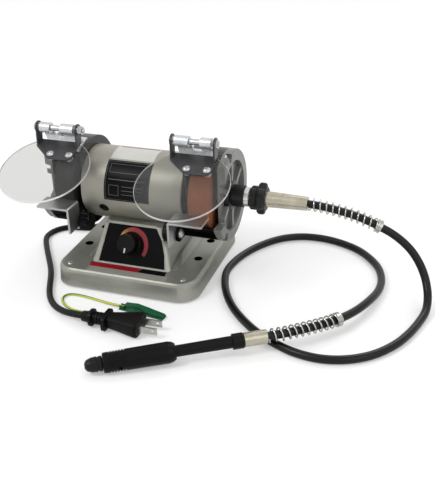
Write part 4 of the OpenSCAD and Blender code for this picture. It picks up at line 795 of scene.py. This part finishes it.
gauge = {"from": 161, "to": -35, "first": 11.9, "growth": 5.3, "wide": 5.0, "end": 3.4, "peak": 0.6,
    "bulge": 0.45, "low": 0.2, "high": 0.34, "count": 60}


def gaugeArc(g):
    # middle radius = first + growth * u; width = wide * (u / peak)^bulge up to the peak, then straight on
    u = np.linspace(0, 1, g["count"])
    a = np.radians(g["from"] + (g["to"] - g["from"]) * u)
    middle = g["first"] + g["growth"] * u
    ease = g["wide"] - (g["wide"] - g["end"]) * (u - g["peak"]) / (1 - g["peak"])
    width = np.where(u < g["peak"], g["wide"] * (u / g["peak"]) ** g["bulge"], ease)
    half = np.maximum(width / 2, 0.05)
    x0, y0 = panel["dial"]
    points = []
    for way, z in ((-1, "low"), (1, "low"), (1, "high"), (-1, "high")):
        r = middle + way * half
        points.append(np.stack([x0 + r * np.cos(a), y0 + r * np.sin(a), np.full(len(u), g[z])], 1))
    corners = np.stack(points, 1).reshape(-1, 3)
    faces = solidFaces(len(u), 4)
    along = np.repeat(u, 4)
    uv = [(along[i], 0.5) for f in faces for i in f]
    return meshPiece("gaugeArc", onPanel(corners), faces, "gauge", "grinder", None, uv)


gaugeArc(gauge)


def turned(name, profile, place, finish, body, slot, sides, ribs):
    # (r cos a, r sin a, z), with r lowered between two heights by the ribs' depth * (1 - cos(count * a)) / 2
    a = fullTurn(sides)
    rows = []
    for r, z in profile:
        reach = np.full(sides, float(r))
        if ribs["low"] < z < ribs["high"]:
            reach = reach - ribs["depth"] * (1 - np.cos(ribs["count"] * a)) / 2
        rows.append(np.stack([reach * np.cos(a), reach * np.sin(a), np.full(sides, float(z))], 1))
    return meshPiece(name, place(np.concatenate(rows)), solidFaces(len(profile), sides), finish, body, slot)


knob = {"flange": 10.9, "foot": 10.1, "top": 9.5, "height": 12.0,
    "ribs": {"low": 2.2, "high": 10.9, "depth": 0.45, "count": 30}}


def onDial(points):
    # x and y counted from the dial's axis on the panel
    return onPanel(points + np.array([*panel["dial"], 0.0]))


flange, foot, top, height = (knob[k] for k in ("flange", "foot", "top", "height"))
profile = [(4, 0.25), (flange - 0.3, 0.25), (flange, 0.6), (flange, 1.5), (flange - 0.5, 1.9), (foot, 2.1),
    (foot - 0.1, 2.6), (top + 0.1, 10.6), (top, 11), (top - 0.25, 11.6), (top - 0.9, 11.95),
    (top - 1.8, height), (1.0, height)]
speedKnob = turned("speedKnob", profile, onDial, "knobPlastic", "dial", "black_plastic", 240, knob["ribs"])
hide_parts("speed_dial")

# outline, bottom, top, placing, finish and slot of each flat label
labels = {
    "panelStrip": ([(-34.0, 1.2), (-30.6, 1.2), (-24.6, 40), (-28.6, 39)], 0.0, 0.75, onPanel,
        "labelSilver", "silver_paint"),
    "panelTopLine": ([(-26, 41.1), (24.8, 41.1), (24.8, 41.8), (-26, 41.8)], 0.0, 0.6, onPanel,
        "labelSilver", "silver_paint"),
    "ledgeSilver": ([(-38.5, -60.6), (43, -60.6), (43.5, -69.4), (-37.5, -69.4)], 0.02, 0.22, onLedge,
        "labelSilver", "silver_paint"),
    "ledgeRed": ([(-40.2, -52.9), (13.4, -52.9), (10.6, -60.4), (-37.6, -60.4)], 0.02, 0.3, onLedge,
        "labelRed", None),
    "ledgeBlack": ([(14.2, -52.9), (38.6, -52.9), (39.4, -60.4), (11.4, -60.4)], 0.02, 0.26, onLedge,
        "panelBlack", "panel_black"),
}
for name, (outline, low, high, place, finish, slot) in labels.items():
    prism(name, outline, low, high, place, finish, "grinder", slot)

pointer = {"turn": -3, "near": 4.6, "far": 9.0, "width": 1.5, "from": -0.15, "to": 0.12}


def pointerBar(p):
    # corners = way * near or far, less or plus half the width beside it
    t = radians(p["turn"])
    way = np.array([sin(t), -cos(t)])
    beside = np.array([cos(t), sin(t)]) * p["width"] / 2
    near, far = way * p["near"], way * p["far"]
    return [near - beside, far - beside, far + beside, near + beside]


prism("dialPointer", pointerBar(pointer), height + pointer["from"], height + pointer["to"], onDial,
    "labelWhite", "dial", "black_plastic")

cross = {"arm": 0.42, "reach": 0.57, "depth": 0.7, "side": 0.16, "end": 0.2, "rim": 0.25, "foot": -0.4,
    "power": 2.6}


def crossHead(radius, crown):
    # height = rim + crown * (1 - (r / radius)^power), less the depth where |x| or |y| is under the arm
    # and r under its reach, with sloping sides and ends
    r = np.r_[np.linspace(0.04, 1, 22) * radius, radius][:, None]
    a = fullTurn(96)
    x, y = r * np.cos(a), r * np.sin(a)
    across = np.clip((cross["arm"] - np.minimum(np.abs(x), np.abs(y))) / cross["side"] + 0.5, 0, 1)
    along = np.clip((cross["reach"] * radius - r) / cross["end"] + 0.5, 0, 1)
    z = cross["rim"] + crown * (1 - (r / radius) ** cross["power"]) - cross["depth"] * across * along
    z[-1] = cross["foot"]
    return np.stack([x, y, z], -1).reshape(-1, 3), solidFaces(len(r), len(a))


def chamfered(outline, low, high, edge):
    # outline moved in by the edge at both faces: corner + edge * (mean of its two inward normals)
    flat = np.asarray(outline, float)
    ahead = np.roll(flat, -1, 0) - flat
    ahead /= np.linalg.norm(ahead, axis=1)[:, None]
    turn = np.sign(np.sum(flat[:, 0] * np.roll(flat[:, 1], -1) - np.roll(flat[:, 0], -1) * flat[:, 1]))
    normal = turn * np.stack([-ahead[:, 1], ahead[:, 0]], 1)
    mean = normal + np.roll(normal, 1, 0)
    inward = mean * 2 / np.maximum(np.sum(mean * mean, 1), 0.5)[:, None]
    rows = [(edge, low), (0, low + edge), (0, high - edge), (edge, high)]
    points = np.concatenate([np.c_[flat + inward * move, np.full(len(flat), z)] for move, z in rows])
    return points, solidFaces(4, len(flat))


def merged(shells, place=lambda q: q):
    # several closed shells in one mesh, then set in place
    points, faces, count = [], [], 0
    for p, f in shells:
        points.append(p)
        faces += [[i + count for i in face] for face in f]
        count += len(p)
    return place(np.concatenate(points)), faces


def moved(shell, x, y, z):
    # points + (x, y, z)
    return shell[0] + np.array([x, y, z], float), shell[1]


head = {"x": 58, "y": 61, "z": 19.75, "radius": 3.05, "crown": 1.15}
one = crossHead(head["radius"], head["crown"])
heads = [moved(one, sx * head["x"], sy * head["y"], head["z"]) for sx in (-1, 1) for sy in (-1, 1)]
meshPiece("cornerScrewHeads", *merged(heads), "screwZinc", "grinder", "zinc")

# the origin is the hinge bolt; rim is the width of the painted highlight along the lens edge; the plate is an
# outline across and up the lens
shield = {
    "hinge": {"left": (-69.3, -35, 147), "right": (64.3, -35, 147)}, "slope": 20.4, "half": 21, "sheet": 1.6,
    "seat": -13.8, "lensRadius": 42.5, "lensCentre": -40.2, "lensTop": -4, "lensThick": 2, "gap": 0.05,
    "rim": 0.3, "ear": 5.8, "earFoot": [(-7.4, -4.4), (-10.4, -11.6), (-10.8, -13.7), (-1.2, -13.7)],
    "plate": [(-21, -2.6), (21, -2.6), (21, -23), (20.4, -25.2), (18.8, -26.8), (16.5, -27.4), (-0.5, -27.6),
        (-3.2, -26.8), (-19.6, -13.2), (-20.7, -12), (-21, -10.8)],
    "spacer": (-3.7, 6.7), "spacerRadius": 2.7,
    "screws": [(-1.6, -21.6), (17.0, -21.0)], "headRadius": 3.6, "headCrown": 1.9, "headLift": 0.3,
    "shankRadius": 1.9, "shankTop": 0.2, "shankEnd": 3.4, "nutRadius": 3.5, "nutEnd": 2.6,
}


def shieldFrame(side):
    # x across, y up the lens, z out of it: point = hinge + (x, y cos t - z sin t, y sin t + z cos t)
    t = radians(shield["slope"])
    turn = np.array([[1, 0, 0], [0, cos(t), sin(t)], [0, -sin(t), cos(t)]])
    return lambda q: shield["hinge"][side] + q @ turn


def polygon(radius, corners):
    # corner k at radius * (cos, sin) of k / corners of a turn
    a = fullTurn(corners)
    return np.stack([radius * np.cos(a), radius * np.sin(a)], 1)


def earOutline():
    # half round at the bolt, then down to the plate
    a = np.radians(np.linspace(-8, 190, 24))
    return [(shield["ear"] * cos(k), shield["ear"] * sin(k)) for k in a] + shield["earFoot"]


def lensOutline():
    # circle cut by a straight top: y = centre + radius * sin a, under the top
    r, c = shield["lensRadius"], shield["lensCentre"]
    start = np.arcsin((shield["lensTop"] - c) / r)
    a = np.linspace(pi - start, 2 * pi + start, 150)
    return [(r * cos(k), c + r * sin(k)) for k in a]


def lensPlastic(side):
    # clear sheet with a faint haze, and a painted highlight: white where sqrt(x^2 + y^2) from its centre
    # passes radius - rim
    t = radians(shield["slope"])
    middle = shield["seat"] - shield["gap"] - shield["lensThick"] / 2
    centre = shieldFrame(side)(np.array([0, shield["lensCentre"], middle])) / 1000
    f = Finish("lensClear", {"Transmission Weight": 1.0, "IOR": 1.14, "Base Color": (0.69, 0.695, 0.675, 1)})
    x, y, z = f.parts(f.place(tuple(centre.tolist()), (t, 0, 0)))
    edge = f.reach(x, y) > (shield["lensRadius"] - shield["rim"]) / 1000
    haze = f.noise(14)
    f.feed("Roughness", between(haze, 0.02, 0.07))
    # painted highlight: white diffuse mixed in at half along the lens edge
    rim = f.node("BsdfDiffuse", {}, {"Color": tone(226, 229, 230)})
    share = edge * 0.5 + between(haze, 0.01, 0.04)
    return f.blend(share, rim)


def acrossPlate(outline, low, high, edge):
    # a chamfered plate whose thickness lies along the hinge bolt
    points, faces = chamfered(outline, low, high, edge)
    return points[:, [2, 0, 1]], faces


def shieldFixings(s):
    # each screw's head on the plate, its shank through the lens and its nut below
    top, low = s["seat"] + s["sheet"], s["seat"] - s["gap"] - s["lensThick"]
    shank = chamfered(polygon(s["shankRadius"], 24), low - s["shankEnd"], top + s["shankTop"], 0.3)
    nut = chamfered(polygon(s["nutRadius"], 6), low - s["nutEnd"], low - s["gap"], 0.35)
    crossed = moved(crossHead(s["headRadius"], s["headCrown"]), 0, 0, top + s["headLift"])
    return [moved(shell, u, p, 0) for u, p in s["screws"] for shell in (crossed, shank, nut)]


def makeShield(side, s):
    # spacer on the bolt; plate with an ear at each end; lens under the plate; screws through both
    place = shieldFrame(side)
    body, name = "shield_" + side, side.capitalize()
    mirror = 1 if side == "right" else -1
    near, far = sorted(mirror * k for k in s["spacer"])
    spacer = acrossPlate(polygon(s["spacerRadius"], 36), near, far, 0.2)
    meshPiece("hingeSpacer" + name, *merged([spacer], place), "screwZinc", "grinder", "zinc")
    ears = [acrossPlate(earOutline(), u, u + s["sheet"], 0.25) for u in (-s["half"], s["half"] - s["sheet"])]
    flat = chamfered(s["plate"], s["seat"], s["seat"] + s["sheet"], 0.3)
    plate = meshPiece("shieldPlate" + name, *merged([flat, *ears], place), "shieldBlack", body, "black_paint")
    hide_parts("shield_plate_" + side)
    top = s["seat"] - s["gap"]
    clear = chamfered(lensOutline(), top - s["lensThick"], top, 0.22)
    lens = meshPiece("shieldLens" + name, *merged([clear], place), "lens" + name, body, "clear_lens")
    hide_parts("shield_lens_" + side)
    fixings = merged(shieldFixings(s), place)
    screws = meshPiece("shieldScrews" + name, *fixings, "screwZinc", body, "zinc")
    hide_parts("shield_screws_" + side)


for side in ("left", "right"):
    finishes["lens" + side.capitalize()] = lensPlastic(side)
    makeShield(side, shield)

# near end, far end, radius and corners of what is on the left bolt's inner end
boltEnd = {"washer": (21.25, 22.2, 4.1, 36), "nut": (22.2, 25.6, 4.15, 6), "tip": (25.55, 27.0, 2.0, 36)}
stack = [acrossPlate(polygon(r, corners), low, high, 0.25) for low, high, r, corners in boltEnd.values()]
meshPiece("hingeNutLeft", *merged(stack, shieldFrame("left")), "screwZinc", "grinder", "zinc")
print("eye shields made")

motorLabels = {
    "motorLabelBlack": {"across": (-29, 17), "angles": (120, 185), "lift": 0.02, "thick": 0.16,
        "finish": "motorLabel"},
    "motorLabelPale": {"across": (-28, 16), "angles": (79, 117), "lift": 0.02, "thick": 0.14,
        "finish": "labelWhite"},
    "motorLabelRedLine": {"across": (-26, 14), "angles": (80, 83), "lift": 0.18, "thick": 0.06,
        "finish": "labelRed"},
}
for name, sizes in motorLabels.items():
    bentPlate(name, **sizes)
print("labels laid")

# metres; all white past far, white by the share lift up to near
ground = {"half": 4.0, "near": 0.4, "far": 0.9, "lift": 0.3}
floorMesh = bpy.data.meshes.new("floor")
g = ground["half"]
floorMesh.from_pydata([(-g, -g, 0), (g, -g, 0), (g, g, 0), (-g, g, 0)], [], [(0, 1, 2, 3)])
floor = bpy.data.objects.new("floor", floorMesh)
scene.collection.objects.link(floor)
f = Finish("floorPaper", {"Roughness": 0.9, "Specular IOR Level": 0.05})
f.feed("Base Color", f.mix(f.noise(400, 2), (0.93, 0.93, 0.93, 1), (0.95, 0.95, 0.95, 1)))


def seenBy(tree):
    # 1 for camera, glossy and transmission rays
    rays = tree.nodes.new("ShaderNodeLightPath")
    kinds = ("Is Camera Ray", "Is Glossy Ray", "Is Transmission Ray")
    camera, glossy, through = (Wire(tree, rays.outputs[k]) for k in kinds)
    return camera.calc("MAXIMUM", camera.calc("MAXIMUM", camera, glossy), through)


reach = f.reach(*f.parts(f.place()))
away = f.node("MapRange", {"interpolation_type": "SMOOTHSTEP"},
    {"Value": reach, "From Min": ground["near"], "From Max": ground["far"]})
white = f.node("Emission", {}, {"Color": (1, 1, 1, 1), "Strength": 1.0})
share = away * (1 - ground["lift"]) + ground["lift"]
floorMesh.materials.append(f.blend(share * seenBy(f.tree), white))

strength = {"seen": 1.0, "light": 0.76}  # the world as the camera sees it, and as it lights
world = bpy.data.worlds.new("studio")
scene.world = world
world.use_nodes = True
tree = world.node_tree
tree.nodes.clear()
soft = tree.nodes.new("ShaderNodeBackground")
soft.inputs["Color"].default_value = (1, 1, 1, 1)
plug(tree, soft.inputs["Strength"], seenBy(tree) * (strength["seen"] - strength["light"]) + strength["light"])
out = tree.nodes.new("ShaderNodeOutputWorld")
tree.links.new(soft.outputs[0], out.inputs[0])

lamps = {
    "key": {"place": (-0.6, -0.8, 1.15), "size": 0.4, "power": 8.0},
    "fill": {"place": (0.95, -0.55, 0.75), "size": 0.9, "power": 2.5},
    "back": {"place": (0.3, 0.85, 1.0), "size": 0.6, "power": 4.0},
}
for name, lamp in lamps.items():
    data = bpy.data.lights.new(name, "AREA")
    data.energy = lamp["power"]
    data.size = lamp["size"]
    obj = bpy.data.objects.new(name, data)
    obj.location = lamp["place"]
    aim = Vector((0.05, -0.03, 0.05)) - obj.location
    obj.rotation_euler = aim.to_track_quat("-Z", "Y").to_euler()
    scene.collection.objects.link(obj)
scene.view_settings.view_transform = "Standard"
print("floor and light set")
